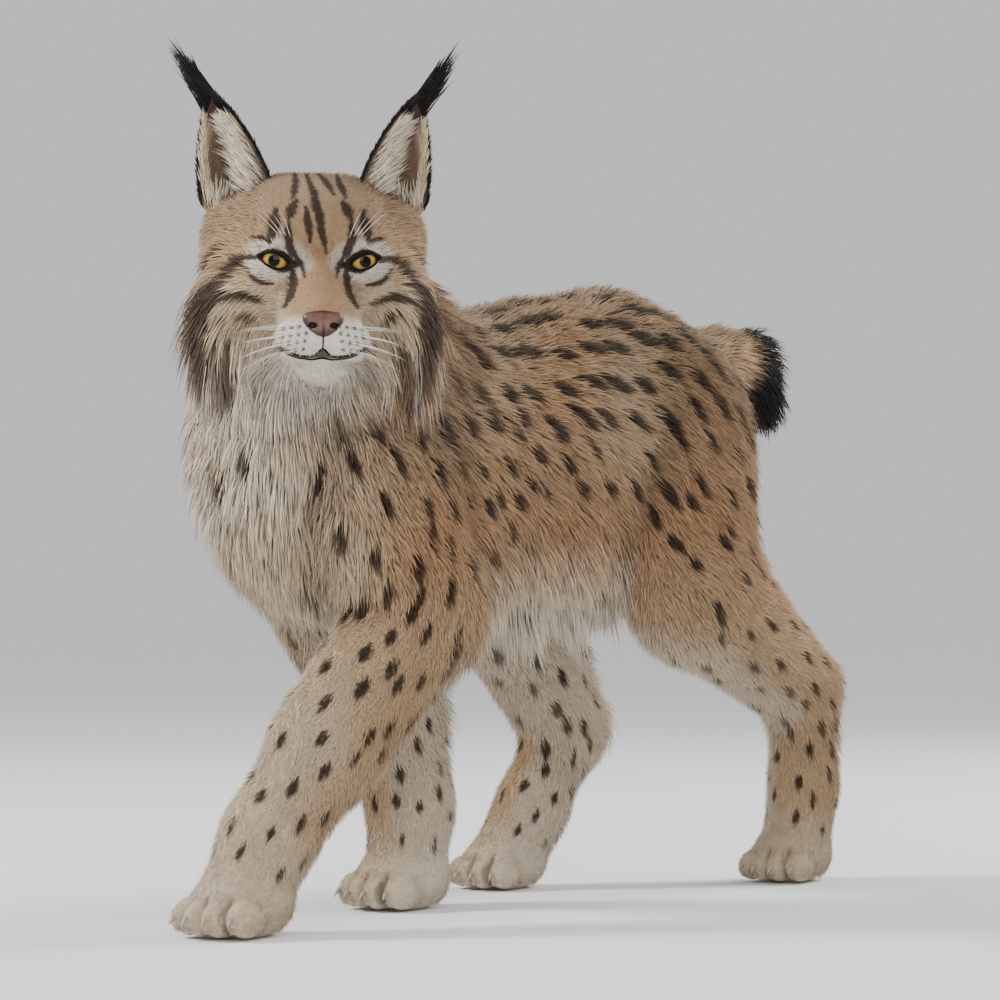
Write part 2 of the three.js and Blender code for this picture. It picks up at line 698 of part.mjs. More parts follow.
const COAT = 0xa58c6c;
for (const name of Object.keys(body)) addNode(model, name, coats[name], COAT, 0.9);
const headGroup = new THREE.Group();
headGroup.applyMatrix4(headPlace);
model.add(headGroup);
const ruff = coats.head.map((piece) => piece.transform(headHome.elements));
addNode(headGroup, "head", [headSolid(), ...ruff], COAT, 0.9);
addNode(headGroup, "nose", [noseSolid()], 0x6a4038, 0.5);
for (const [name, side] of Object.entries(SIDES)) {
  addNode(headGroup, `eye_${name}`, [sphereSolid(eyeAt(side), EYE_RADIUS, 12)], 0xc08a30, 0.1);
  const ear = largest(earSheet(side).subtract(solid(headShell(GAP))));
  addNode(headGroup, `ear_${name}`, [ear, ...earLocks(side)], 0x4a443e, 0.9);
}

// The part's origin is on the floor, under the middle of its outline.
const outline = new THREE.Box3().setFromObject(model, true);
const middle = outline.getCenter(at(0, 0, 0));
model.position.set(-middle.x, -middle.y, -outline.min.z);

export default model;
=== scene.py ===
import math

import bpy
import numpy as np
from mathutils import Matrix, Vector, kdtree


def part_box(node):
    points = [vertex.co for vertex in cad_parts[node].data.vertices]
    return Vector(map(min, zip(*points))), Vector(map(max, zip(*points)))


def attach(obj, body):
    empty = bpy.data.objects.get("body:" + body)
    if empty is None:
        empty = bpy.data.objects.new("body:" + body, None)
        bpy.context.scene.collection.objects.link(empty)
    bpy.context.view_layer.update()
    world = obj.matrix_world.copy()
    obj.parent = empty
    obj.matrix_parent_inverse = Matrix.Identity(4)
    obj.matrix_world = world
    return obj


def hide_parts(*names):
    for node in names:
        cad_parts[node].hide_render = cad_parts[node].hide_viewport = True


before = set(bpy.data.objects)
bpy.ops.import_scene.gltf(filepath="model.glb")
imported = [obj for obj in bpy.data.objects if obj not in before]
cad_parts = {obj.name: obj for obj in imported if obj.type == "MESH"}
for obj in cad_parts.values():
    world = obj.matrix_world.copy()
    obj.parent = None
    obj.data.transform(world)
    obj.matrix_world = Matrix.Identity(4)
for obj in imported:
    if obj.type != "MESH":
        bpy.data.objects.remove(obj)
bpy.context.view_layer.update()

bl_info = {
    "name": "Eurasian lynx",
    "version": (1, 0, 0),
    "blender": (4, 5, 0),
    "location": "3D View > Sidebar > Lynx",
    "description": "Dresses the solid lynx in skin, winter coat, eyes, nose and whiskers",
    "category": "Object",
}

BODY = "root"

# The forms are worked out in millimetres, in the frame in which the solids were drawn. The head has a
# frame of its own, from the middle of the skull: x to its left, y to the back and z up.
MM = 0.001
HEAD_TURN = math.radians(45)
HEAD_NOD = math.radians(4)
HEAD_CENTRE = np.array([70.0, -380.0, 634.0])
EYE_PLACE = np.array([40.0, -50.0, 10.0])
EYE_RADIUS = 17.5
EYE_HALF = 16.0
IRIS_RADIUS = 15.0
LID_DEPTH = 5.5
NOSE_CENTRE = np.array([0.0, -123.0, -45.0])
LEATHER = NOSE_CENTRE + (0, 5.5, -5)
LEATHER_HALF = np.array([18.0, 9.5, 13.0])
MUZZLE_MIDDLE = -62.0
MOUTH_FRONT = -81.0
MOUTH_SIDE = -71.0
MOUTH_BOW = 7.0
MOUTH_HALF = 45.0
MOUTH_REACH = 66.0
WHISKER_ROWS = 4
WHISKER_TOP = -52.0
EAR_LENGTH = 112.0
EAR_HALF = 36.0
EAR_TUFT = 52.0
SIDES = {"left": 1, "right": -1}
DOWN = np.array([0.0, 0.0, -1.0])
LEGS = {
    "fore_left": {
        "joints": [(74, -292, 430), (84, -236, 312), (63, -354, 178), (51, -424, 92), (47, -448, 50)],
        "paw": (44, -460, 0),
        "splay": 0.06,
    },
    "fore_right": {
        "joints": [(-74, -275, 432), (-84, -172, 316), (-58, -114, 200), (-46, -93, 104), (-39, -108, 50)],
        "paw": (-36, -126, 0),
        "splay": -0.08,
    },
    "hind_left": {
        "joints": [(52, 232, 492), (92, 218, 345), (88, 446, 222), (83, 464, 110), (80, 452, 48)],
        "paw": (79, 436, 0),
        "splay": 0.05,
    },
    "hind_right": {
        "joints": [(-52, 215, 492), (-96, 118, 345), (-93, 238, 176), (-105, 192, 88), (-114, 168, 46)],
        "paw": (-118, 150, 0),
        "splay": -0.06,
    },
}


def unit(vectors):
    lengths = np.linalg.norm(vectors, axis=-1, keepdims=True)
    return vectors / np.maximum(lengths, 1e-9)


def ramp(values, low, high):
    """0 below low, 1 above high, and smooth between; low may be the larger."""
    t = np.clip((values - low) / (high - low), 0, 1)
    return t * t * (3 - 2 * t)


def mix(a, b, t):
    return a + (b - a) * t


def dot(a, b):
    """Product of each row of a with the same row of b."""
    return np.einsum("ij,ij->i", a, b)


def pressed(vectors, normals):
    """Directions laid flat on the surface that has these normals."""
    return unit(vectors - normals * dot(vectors, normals)[:, None])


def curve(start, middle, end, t):
    """Place at t, from 0 to 1, on the curve from start to end that middle draws to itself."""
    return (1 - t) ** 2 * start + 2 * t * (1 - t) * middle + t * t * end


def within(points, low, high):
    """Which points lie in the box from low to high."""
    return ((points > low) & (points < high)).all(1)


def head_axes():
    turn = Matrix.Rotation(HEAD_TURN, 3, "Z") @ Matrix.Rotation(HEAD_NOD, 3, "X")
    return np.array(turn)


HEAD_AXES = head_axes()


def to_head(points):
    return (points - HEAD_CENTRE) @ HEAD_AXES


def from_head(points):
    return np.asarray(points, float) @ HEAD_AXES.T + HEAD_CENTRE


def head_direction(vectors):
    return np.asarray(vectors, float) @ HEAD_AXES.T


def cad_shift():
    """From the frame of the drawing to that of the solids, taken from the left eye."""
    low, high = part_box("eye_left")
    return np.array((low + high) / 2) / MM - from_head(EYE_PLACE)


SHIFT = cad_shift()


def to_metres(points):
    return (np.asarray(points, float) + SHIFT) * MM


def from_metres(points):
    return np.asarray(points, float) / MM - SHIFT


# Coat habits, by part of the body.

COATS = {
    # depth over the skin, tuft length, rise of the tuft, tuft width, tufts per square centimetre
    "back": (12, 27, 0.42, 2.4, 13),
    "rump": (12, 27, 0.42, 2.4, 13),
    "brisket": (16, 44, 0.42, 2.8, 11),
    "neck": (16, 38, 0.42, 2.6, 12),
    "shoulder": (11, 24, 0.4, 2.3, 13),
    "thigh": (11, 26, 0.4, 2.3, 13),
    "foreleg": (7, 16, 0.36, 1.9, 16),
    "shank": (7, 18, 0.36, 1.9, 16),
    "wrist": (5, 11, 0.34, 1.6, 21),
    "paw": (3.5, 9, 0.4, 1.25, 36),
    "tail": (11, 26, 0.4, 2.4, 13),
    "head": (4, 9, 0.36, 1.3, 34),
}


class Form:
    """One rounded swelling of the body, with the habit of its coat and the way the hair runs.

    It goes from start to end, with a radius and a shape (shares of the radius in x, y and z) for each."""

    def __init__(self, start, end, radii, shapes, blend, region, coat, flow):
        self.start = np.array(start, float)
        self.along = np.array(end, float) - self.start
        self.length = max(float(self.along @ self.along), 1e-4)
        self.radii = radii
        self.shapes = np.array(shapes, float)
        self.blend = blend
        self.region = region
        self.coat = coat
        self.flow = unit(np.array(flow, float))

    def reach(self, points):
        """Distance of points from the outside of the swelling."""
        off = points - self.start
        t = np.clip(off @ self.along / self.length, 0, 1)
        off -= t[:, None] * self.along
        off /= mix(self.shapes[0], self.shapes[1], t[:, None])
        return np.sqrt(dot(off, off)) - mix(self.radii[0], self.radii[1], t)


def bone(start, end, radii, breadth=(1, 1), blend=30, region="trunk", coat="back", flow=None):
    """A long swelling; its hair runs from start to end unless flow says another way."""
    shapes = [(wide, 1, 1) for wide in breadth]
    if flow is None:
        flow = np.array(end, float) - np.array(start, float)
    return Form(start, end, radii, shapes, blend, region, coat, flow)


def ball(centre, rx, ry, rz, blend=20, region="head", coat="head", flow=(0, 1, -0.3)):
    shape = (rx / ry, 1, rz / ry)
    end = np.array(centre, float) + (0, 0.01, 0)
    return Form(centre, end, (ry, ry), (shape, shape), blend, region, coat, flow)


def side_of(limb):
    return SIDES[limb.split("_")[1]]


def is_fore(limb):
    return limb.startswith("fore")


def joints_of(limb):
    """Places of a limb from its top to the instep."""
    return np.array(LEGS[limb]["joints"], float)


def trunk_forms():
    back = (0, 1, -0.12)
    forms = [
        bone((0, -205, 458), (0, 60, 488), (156, 152), (0.73, 0.71), 60, flow=back),
        bone((0, 60, 488), (0, 200, 509), (152, 155), (0.72, 0.7), 50, flow=back),
        bone((0, 200, 509), (0, 262, 521), (154, 114), (0.72, 0.88), 50, coat="rump", flow=(0, 0.9, -0.4)),
        bone((0, -205, 400), (0, -298, 462), (106, 116), (0.82, 0.86), 70, coat="brisket",
             flow=(0, 0.35, -1)),
        bone((0, -215, 510), (22, -318, 566), (122, 104), (0.84, 0.9), 70, region="neck", coat="neck",
             flow=(-0.1, 0.8, -0.6)),
    ]
    for name in LEGS:
        top, bend = joints_of(name)[:2]
        fore = is_fore(name)
        blade = np.array([top[0] * 0.78, top[1] + 95, 545]) if fore else top
        reach = mix(top, bend, 0.3 if fore else 0.45)
        radii = (66, 88) if fore else (126, 112)
        flow = (0, 0.45, -1) if fore else (0, 0.6, -0.9)
        forms.append(bone(blade, reach, radii, (0.6, 0.62), 45, coat="shoulder" if fore else "thigh",
                          flow=flow))
    return forms


def neck_forms():
    return [bone((22, -318, 566), (44, -352, 606), (104, 92), (0.9, 0.94), 40, region="neck", coat="neck",
                 flow=(-0.2, 0.8, -0.6))]


def tail_forms():
    line = [(0, 320, 588), (1, 402, 604), (3, 462, 602), (5, 490, 560)]
    radii = [46, 38, 38, 32]
    return [bone(line[i], line[i + 1], radii[i:i + 2], (0.95, 0.95), 20, region="tail", coat="tail")
            for i in range(len(line) - 1)]


def leg_forms(name):
    top, bend, low, ankle, instep = joints_of(name)
    if is_fore(name):
        return [
            bone(top, bend, (84, 74), (0.62, 0.66), 30, name, "shoulder", (0, 0.35, -1)),
            bone(bend, low, (77, 63), (0.68, 0.78), 20, name, "foreleg"),
            bone(low, ankle, (63, 50), (0.78, 0.88), 20, name, "foreleg"),
            bone(ankle, instep, (50, 46), (0.88, 0.96), 20, name, "wrist"),
        ]
    heel = low + (0, 26, 6)
    return [
        bone(top, bend, (120, 94), (0.6, 0.62), 30, name, "thigh", (0.05 * side_of(name), 0.45, -1)),
        bone(bend, low, (90, 54), (0.62, 0.8), 30, name, "shank"),
        bone(heel, low, (36, 48), (0.8, 0.8), 20, name, "shank", (0, 0.4, -1)),
        bone(low, ankle, (48, 47), (0.78, 0.8), 20, name, "shank"),
        bone(ankle, instep, (47, 45), (0.8, 0.92), 20, name, "wrist"),
    ]


def paw_frame(name):
    """Scale, turn and place of a paw."""
    leg = LEGS[name]
    scale = 1.0 if is_fore(name) else 0.94
    turn = np.array(Matrix.Rotation(leg["splay"], 3, "Z"))
    return scale, turn, np.array(leg["paw"], float)


def toe_middles():
    """How far out each of the four toes stands, from -1 to 1, and its middle in a paw of full size."""
    for toe in range(4):
        out = (toe - 1.5) / 1.5
        yield out, np.array([33.0 * out, 11 * out * out - 38, 20])


def toe_centres(name):
    """Places of the four toes of a paw, and the turn and scale of the paw."""
    scale, turn, place = paw_frame(name)
    return np.array([turn @ (middle * scale) + place for out, middle in toe_middles()]), turn, scale


def paw_forms(name):
    scale, turn, place = paw_frame(name)
    forward = turn @ np.array([0, -1.0, -0.25])
    middle = turn @ (np.array([0, 6, 29.0]) * scale) + place
    made = [ball(middle, 48 * scale, 57 * scale, 36 * scale, 14, name, "paw", forward)]
    for centre in toe_centres(name)[0]:
        made.append(ball(centre, 14.5 * scale, 27 * scale, 20.5 * scale, 5, name, "paw", forward))
    return made


def toe_gap(points):
    """1 in the grooves between the toes and 0 elsewhere."""
    cover = np.zeros(len(points))
    low = np.flatnonzero(points[:, 2] < 60)
    for name in LEGS:
        centres, turn, scale = toe_centres(name)
        off = (points[low, None, :] - centres[None]) @ turn
        sideways = np.sort(np.abs(off[:, :, 0]), axis=1)
        between = ramp(sideways[:, 1] - sideways[:, 0], 7.0, 1.5)
        ahead = off[:, :, 1].min(1)
        near = ramp(ahead, 16, 0) * (sideways[:, 0] < 14 * scale) * ramp(points[low, 2], 46, 34)
        cover[low] = np.maximum(cover[low], between * near)
    return cover


def pair(centre, rx, ry, rz, blend):
    """The same ball on the left and the right of the head."""
    return [ball(centre * np.array([side, 1, 1]), rx, ry, rz, blend) for side in SIDES.values()]


def head_forms():
    skull = pair((21, 22, 36), 60, 78, 67, 20)
    forehead = ball((0, -34, 46), 54, 36, 34, 25)
    ear_roots = pair((76, 20, 42), 33, 36, 36, 25)
    cheek_bones = pair((50, -19, -8), 46, 46, 48, 25)
    cheeks = pair((70, 16, -38), 42, 46, 68, 30)
    jaw = bone((0, -70, -84), (0, 0, -84), (24, 46), (1.1, 1.3), 20, "head", "head")
    muzzle = bone((0, -50, -30), (0, -90, -54), (40, 35), (1.1, 1.08), 20, "head", "head")
    pads = pair((21, -101, -66), 26, 26, 22, 8)
    bridge = bone((0, -38, 20), (0, -106, -37), (21, 15), (1.05, 1.1), 14, "head", "head")
    chin = ball((0, -88, -93), 25, 23, 17, 10)
    brows = pair((38, -46, 32), 26, 20, 12, 14)
    lids = pair(EYE_PLACE, *[EYE_RADIUS + LID_DEPTH] * 3, 8)
    return [*skull, forehead, *ear_roots, *cheek_bones, *cheeks, jaw, muzzle, *pads, bridge, chin,
            *brows, *lids]


BODY_FORMS = trunk_forms() + neck_forms() + tail_forms()
for leg_name in LEGS:
    BODY_FORMS += leg_forms(leg_name) + paw_forms(leg_name)
HEAD_FORMS = head_forms()
ALL_FORMS = BODY_FORMS + HEAD_FORMS
REGIONS = sorted({form.region for form in ALL_FORMS})
HEAD_BLEND = 22
SHARE_FALL = 9.0
CREASE_DEPTH = 5.0
GAP_DEPTH = 2.5
FLANK_FALL = 0.75
RUFF_POINT = np.array([58.0, -28.0, -185.0])


def joined_softly(a, b, blend):
    """The nearer of two distances, with the valley between the forms filled over the width of blend."""
    near = np.maximum(blend - np.abs(a - b), 0) / blend
    return np.minimum(a, b) - near * near * blend / 4


def blended(reaches, forms):
    nearest = np.full(len(reaches[0]), 1e6)
    for reach, form in zip(reaches, forms):
        nearest = joined_softly(nearest, reach, form.blend)
    return nearest


def survey(points):
    """Distance to the outline of the coat, the share of each form, and the places in the head's frame."""
    local = to_head(points)
    body = [form.reach(points) for form in BODY_FORMS]
    head = [form.reach(local) for form in HEAD_FORMS]
    whole = joined_softly(blended(body, BODY_FORMS), blended(head, HEAD_FORMS), HEAD_BLEND)
    shares = np.array(body + head).T
    shares = np.exp(-(shares - shares.min(1, keepdims=True)) / SHARE_FALL)
    return whole, shares / shares.sum(1, keepdims=True), local


def outward(points, step=1.5):
    """Directions straight out of the outline of the coat."""
    slopes = []
    for axis in np.eye(3):
        ahead = survey(points + axis * step)[0]
        behind = survey(points - axis * step)[0]
        slopes.append(ahead - behind)
    return unit(np.array(slopes).T)


HABITS = np.array([COATS[form.coat] for form in ALL_FORMS], float)
FLOWS = np.array([form.flow for form in ALL_FORMS], float)
IN_HEAD = np.array([form.region == "head" for form in ALL_FORMS], float)
LIMB_COATS = ("shoulder", "thigh", "foreleg", "shank", "wrist", "paw")
IN_LIMB = np.array([form.coat in LIMB_COATS for form in ALL_FORMS], float)
REGION_SHARES = np.array([[float(form.region == name) for name in REGIONS] for form in ALL_FORMS])


def head_coat(local):
    """Depth and length of the coat of the head, and how far a place is in the ruff and the nape."""
    x, y, z = np.abs(local[:, 0]), local[:, 1], local[:, 2]
    cheek = ramp(y, -62, -6) * ramp(z, 34, -16)
    jaw = ramp(z, -84, -104) * ramp(y, -92, -40)
    ruff = np.maximum(cheek * ramp(x, 30, 72), jaw * 0.8)
    crown = ramp(z, 40, 80) * ramp(y, -40, 20)
    nape = ramp(y, 0, 60) * ramp(z, -20, 30)
    depth = 3.0 + 9 * ruff + 4 * crown + 7 * nape
    side = ramp(x, 60, 98) * ramp(z, 60, -10)
    length = 6.5 + 8 * ramp(x, 14, 60) + 6 * crown + 20 * nape + 14 * side
    length += (50 + 14 * ramp(z, -35, -90)) * ruff
    return depth, length, ruff, nape


def face_lie(local, ruff):
    """How the hair of the head lies: back from the nose, and down to a point on each side in the ruff."""
    away = unit(local - (NOSE_CENTRE + (0, -8, 6)))
    away = unit(mix(away, np.array([0, 0.86, -0.51]), 0.9 * ramp(local[:, 1], -75, 5)[:, None]))
    low = ramp(local[:, 2], 10, -100)
    side = np.sign(local[:, 0])
    ones = np.ones(len(local))
    hang = unit(np.stack([side * mix(0.5, 0.0, low), mix(0.45, 0.38, low), -ones], 1))
    point = unit(RUFF_POINT * np.stack([side, ones, ones], 1) - local)
    gather = ramp(local[:, 2], 0, -70) * ramp(np.abs(local[:, 0]), 20, 50) * 0.8
    hang = unit(mix(hang, point, gather[:, None]))
    return head_direction(unit(mix(away, hang, ruff[:, None] * 0.85)))


def habit(points):
    """The coat at each point: its measures, its lie and the share of each region."""
    whole, shares, local = survey(points)
    depth, length, rise, width, density = (shares @ HABITS).T
    headness = shares @ IN_HEAD
    limb = shares @ IN_LIMB
    regions = shares @ REGION_SHARES
    share = dict(zip(REGIONS, regions.T))
    share["legs"] = sum(share[name] for name in LEGS)
    # Where the limbs join the trunk: the skin lies deeper there, and the colour is darkened there as painted
    # shade.
    crease = 4 * limb * (1 - limb) * (1 - headness)
    gap = toe_gap(points)
    head_depth, head_length, ruff, nape = head_coat(local)
    flow = unit(shares @ FLOWS)
    barrel = (1 - limb) * (1 - headness) * (1 - share["tail"])
    flow[:, 2] -= FLANK_FALL * barrel * ramp(points[:, 2], 600, 450)
    return {
        "distance": whole,
        "depth": mix(depth + (CREASE_DEPTH * crease + GAP_DEPTH * gap), head_depth, headness),
        "length": mix(length, head_length, headness),
        "rise": rise + headness * (0.2 * nape - 0.35 * ruff * rise),
        "width": width,
        "density": density,
        "flow": unit(mix(unit(flow), face_lie(local, ruff), headness[:, None])),
        "regions": regions,
        "share": share,
        "headness": headness,
        "crease": crease,
        "toe_gap": gap,
        "ruff": ruff * headness,
        "local": local,
    }


# Small helpers for modelling.

def added(name):
    """The object that was just added, under its own name."""
    piece = bpy.context.object
    piece.name = name
    return piece


def select_only(*pieces):
    if bpy.context.object and bpy.context.object.mode != "OBJECT":
        bpy.ops.object.mode_set(mode="OBJECT")
    bpy.ops.object.select_all(action="DESELECT")
    for piece in pieces:
        piece.select_set(True)
    bpy.context.view_layer.objects.active = pieces[0]


def joined(pieces, name):
    select_only(*pieces)
    bpy.ops.object.join()
    piece = added(name)
    piece.data.name = name
    select_only(piece)
    bpy.ops.object.transform_apply(location=True, rotation=True, scale=True)
    return piece


def apply_modifier(piece, kind, **settings):
    select_only(piece)
    bpy.ops.object.modifier_add(type=kind)
    modifier = piece.modifiers[-1]
    for key, value in settings.items():
        setattr(modifier, key, value)
    bpy.ops.object.modifier_apply(modifier=modifier.name)


def smooth_and_outward(piece):
    """Shades a piece smooth and turns all its faces outward."""
    select_only(piece)
    bpy.ops.object.shade_smooth()
    bpy.ops.object.mode_set(mode="EDIT")
    bpy.ops.mesh.select_all(action="SELECT")
    bpy.ops.mesh.normals_make_consistent(inside=False)
    bpy.ops.object.mode_set(mode="OBJECT")


def rows_of(elements, key, width, kind=np.float64):
    """One attribute of all elements of a mesh, a row for each."""
    values = np.zeros(len(elements) * width, kind)
    elements.foreach_get(key, values)
    return values.reshape(-1, width)


def vertices_of(piece):
    return rows_of(piece.data.vertices, "co", 3)


def vertex_normals(piece):
    return rows_of(piece.data.vertices, "normal", 3)


def edges_of(piece):
    return rows_of(piece.data.edges, "vertices", 2, np.int64)


def triangles_of(piece):
    piece.data.calc_loop_triangles()
    return rows_of(piece.data.loop_triangles, "vertices", 3, np.int32)


def move_vertices(piece, places):
    piece.data.vertices.foreach_set("co", np.ascontiguousarray(places, np.float64).ravel())
    piece.data.update()


def relaxed(places, pairs, amount):
    """Moves each vertex by a share of the way to the middle of its neighbours."""
    total = np.zeros_like(places)
    count = np.zeros(len(places))
    for a, b in ((0, 1), (1, 0)):
        np.add.at(total, pairs[:, a], places[pairs[:, b]])
        np.add.at(count, pairs[:, a], 1)
    return mix(places, total / np.maximum(count, 1)[:, None], amount)


def paint(piece, colours, name="coat_colour"):
    """Stores a colour for each vertex, for the materials to read."""
    attribute = piece.data.attributes.new(name, "FLOAT_COLOR", "POINT")
    full = np.ones((len(colours), 4), np.float32)
    full[:, :3] = np.clip(colours, 0, 1)
    attribute.data.foreach_set("color", full.ravel())


def mesh_piece(name, vertices, faces):
    """A joined mesh of triangles from arrays, in metres."""
    mesh = bpy.data.meshes.new(name)
    mesh.vertices.add(len(vertices))
    mesh.vertices.foreach_set("co", np.ascontiguousarray(vertices, np.float32).ravel())
    mesh.loops.add(faces.size)
    mesh.loops.foreach_set("vertex_index", faces.astype(np.int32).ravel())
    mesh.polygons.add(len(faces))
    mesh.polygons.foreach_set("loop_start", np.arange(0, faces.size, 3, dtype=np.int32))
    mesh.polygons.foreach_set("use_smooth", np.ones(len(faces), bool))
    mesh.update(calc_edges=True)
    piece = bpy.data.objects.new(name, mesh)
    bpy.context.scene.collection.objects.link(piece)
    return piece


# Markings, with painted shade, the same on skin and coat.

def linear(red, green, blue):
    """A screen colour, 0 to 255, as Blender reckons with it."""
    values = np.array([red, green, blue], float) / 255
    return np.where(values <= 0.04045, values / 12.92, ((values + 0.055) / 1.055) ** 2.4)


PALETTE = {
    "back": linear(158, 128, 96),
    "flank": linear(186, 156, 122),
    "rust": linear(182, 138, 98),
    "smoke": linear(150, 134, 114),
    "pale": linear(232, 220, 200),
    "cream": linear(214, 192, 160),
    "leg": linear(196, 166, 130),
    "spot": linear(46, 33, 26),
    "black": linear(26, 22, 20),
    "face": linear(166, 136, 104),
    "bridge": linear(168, 134, 100),
    "white": linear(230, 222, 208),
    "grey": linear(150, 142, 132),
    "paw": linear(204, 184, 156),
    "flesh": linear(150, 112, 98),
}


class Layers:
    """A colour at each of many points, built up in layers from the palette."""

    def __init__(self, name, count):
        self.colour = np.broadcast_to(PALETTE[name], (count, 3)).copy()

    def lay(self, name, cover, shade=1.0):
        cover = np.clip(cover, 0, 1)[:, None]
        self.colour = mix(self.colour, PALETTE[name] * shade, cover)


def waves(points, scale, phase):
    """Soft patches, between -3 and 3, a little wider than the scale."""
    x, y, z = (points / scale).T
    first = np.sin(x * 1.3 + y * 2.1 + phase)
    second = np.sin(y * 1.7 - z * 1.9 + phase * 2)
    return first + second + np.sin(z * 1.4 + x * 2.3)


# Rows of spots on each side of the trunk, in degrees down from the ridge of the back. The rows of the
# back begin at the withers and the others at the chest.
SPOT_ROWS = (10, 27, 44, 62, 80, 98, 116)
BACK_ROWS = 3
SPOT_STEP = 47
SPOT_GAP = 7
AXIS_HEIGHT = 470
MARCH_ROUNDS = 34
MARCH_SHARE = 0.92
# A spot marks only what lies less than its thickness over or under it. The square of the distance beside
# the spot grows by FAR_OFF for what lies further. Points are taken in batches, to spare memory.
SPOT_THICKNESS = 34
FAR_OFF = 900
BATCH = 20000


def trunk_spots(rng):
    """A ray out of the trunk for each spot, and its half length and half width."""
    rays = []
    for side in SIDES.values():
        for row, angle in enumerate(SPOT_ROWS):
            start, count = (-238, 13) if row < BACK_ROWS else (-379, 16)
            grow = 1.0 - 0.25 * (row > 4)
            for column in range(count):
                along = start + (column + 0.5 * (row % 2)) * SPOT_STEP + rng.uniform(-8, 8)
                tilt = math.radians(angle + rng.uniform(-4, 4))
                height = AXIS_HEIGHT + 42 * float(np.clip((along + 200) / 460, 0, 1))
                out = np.array([side * math.sin(tilt), 0, math.cos(tilt)])
                size = (rng.uniform(18, 27) * grow, rng.uniform(7.4, 10.8) * grow)
                rays.append((np.array([0, along, height]), out, size))
    return rays


def limb_spots(name, rng):
    """The same for a limb, in rings round its bones, smaller from one bone to the next."""
    rays = []
    joints = joints_of(name)
    grow, turn = 1.0, 0.0
    for start, end, rings in zip(joints, joints[1:], (4, 6, 4, 2)):
        axis = unit(end - start)
        first = unit(np.cross(axis, (0.2, 1, 0.1)))
        second = np.cross(axis, first)
        around = 7 if grow > 0.75 else 6
        for ring in range(rings):
            turn += 0.45
            for i in range(around):
                angle = 2 * math.pi * i / around + turn + rng.uniform(-0.16, 0.16)
                place = mix(start, end, (ring + 0.5 + rng.uniform(-0.2, 0.2)) / rings)
                out = first * math.cos(angle) + second * math.sin(angle)
                rays.append((place, out, (rng.uniform(12, 18) * grow, rng.uniform(5.5, 7.7) * grow)))
        grow *= 0.86
    return rays


def spot_places():
    """Places of the spots on the outline of the coat, well apart, and their half sizes."""
    rng = np.random.default_rng(11)
    rays = trunk_spots(rng)
    for name in LEGS:
        rays += limb_spots(name, rng)
    places, directions, sizes = (np.array(values, float) for values in zip(*rays))
    directions = unit(directions)
    for _ in range(MARCH_ROUNDS):
        places += directions * np.maximum(-survey(places)[0], 0)[:, None] * MARCH_SHARE
    kept = []
    for i, place in enumerate(places):
        if all(np.linalg.norm(place - places[j]) > sizes[i, 0] + SPOT_GAP for j in kept):
            kept.append(i)
    return places[kept], sizes[kept]


SPOTS, SPOT_SIZES = spot_places()
SPOT_NORMALS = outward(SPOTS)
SPOT_LIES = pressed(habit(SPOTS)["flow"], SPOT_NORMALS)

# Strokes of the face, seen from the front: start, middle, end and half width. The first are on both sides.
PAIRED_STROKES = [
    ((20, 94), (21, 82), (25, 70), 2.4),
    ((22, 66), (26, 60), (30, 49), 3.1),
    ((41, 58), (42, 44), (47, 28), 3.5),
    ((47, 28), (52, 31), (60, 33), 1.5),
    ((29, 44), (34, 26), (20, 10), 3.0),
    ((23, 14), (16, 6), (15, -6), 1.8),
    ((27, 6), (20, -12), (34, -34), 2.6),
    ((60, 13), (78, 16), (92, -12), 3.0),
    ((86, 27), (96, 18), (103, 4), 2.0),
    ((68, 4), (62, -11), (44, -12), 1.9),
    ((86, -24), (72, -19), (50, -30), 2.8),
    ((78, -38), (68, -40), (58, -46), 2.0),
    ((90, -10), (104, -40), (92, -92), 6.0),
    ((76, -66), (82, -96), (66, -140), 5.0),
]
LONE_STROKES = [
    ((-9, 94), (-3, 60), (6, 18), 3.0),
    ((-13, 60), (-11, 44), (-9, 28), 2.6),
    ((3, 95), (8, 86), (14, 74), 2.3),
]
STROKES = list(LONE_STROKES)
for side_sign in SIDES.values():
    for *knots, half_width in PAIRED_STROKES:
        STROKES.append((*((side_sign * across, up) for across, up in knots), half_width))


def stroke_cover(local):
    """1 on the strokes of the face and 0 beside them."""
    x, z = local[:, 0], local[:, 2]
    uneven = 1 + 0.12 * np.sin(z * 0.31 + x * 0.23) + 0.1 * np.sin(z * 0.83 + x)
    cover = np.zeros(len(local))
    for *knots, half in STROKES:
        nearest = np.full(len(local), 1e6)
        for t in np.linspace(0, 1, 25):
            across, up = curve(*np.array(knots, float), t)
            thin = half * (0.55 + 0.9 * math.sin(math.pi * min(max(t, 0.08), 0.94)))
            nearest = np.minimum(nearest, np.hypot(x - across, z - up) / thin)
        cover = np.maximum(cover, ramp(nearest * uneven, 1.35, 0.8))
    return cover * ramp(local[:, 1], 46, 20)


def whisker_dots(local):
    """1 on the rows of dark dots from which the whiskers grow, and 0 beside them."""
    x, z = np.abs(local[:, 0]), local[:, 2]
    cover = np.zeros(len(local))
    for row in range(WHISKER_ROWS):
        for place in range(5):
            across = 15 + place * 7.2 + row * 1.2
            up = WHISKER_TOP - row * 7.4 - place * 1.1
            cover = np.maximum(cover, ramp(np.hypot(x - across, z - up), 2.6, 1.5))
    return cover * ramp(local[:, 1], -60, -84)


def mouth_height(x, y, bow=MOUTH_BOW):
    """Height of the mouth line: bowed up in the middle, nearly level along the sides of the muzzle."""
    t = np.clip(np.abs(x) / MOUTH_HALF, 0, 1)
    front = MOUTH_FRONT + bow * np.exp(-(t / 0.13) ** 2) + 12 * (np.maximum(t - 0.3, 0) / 0.7) ** 2
    return mix(front, MOUTH_SIDE - 0.06 * (y + 100), ramp(y, -113, -100))


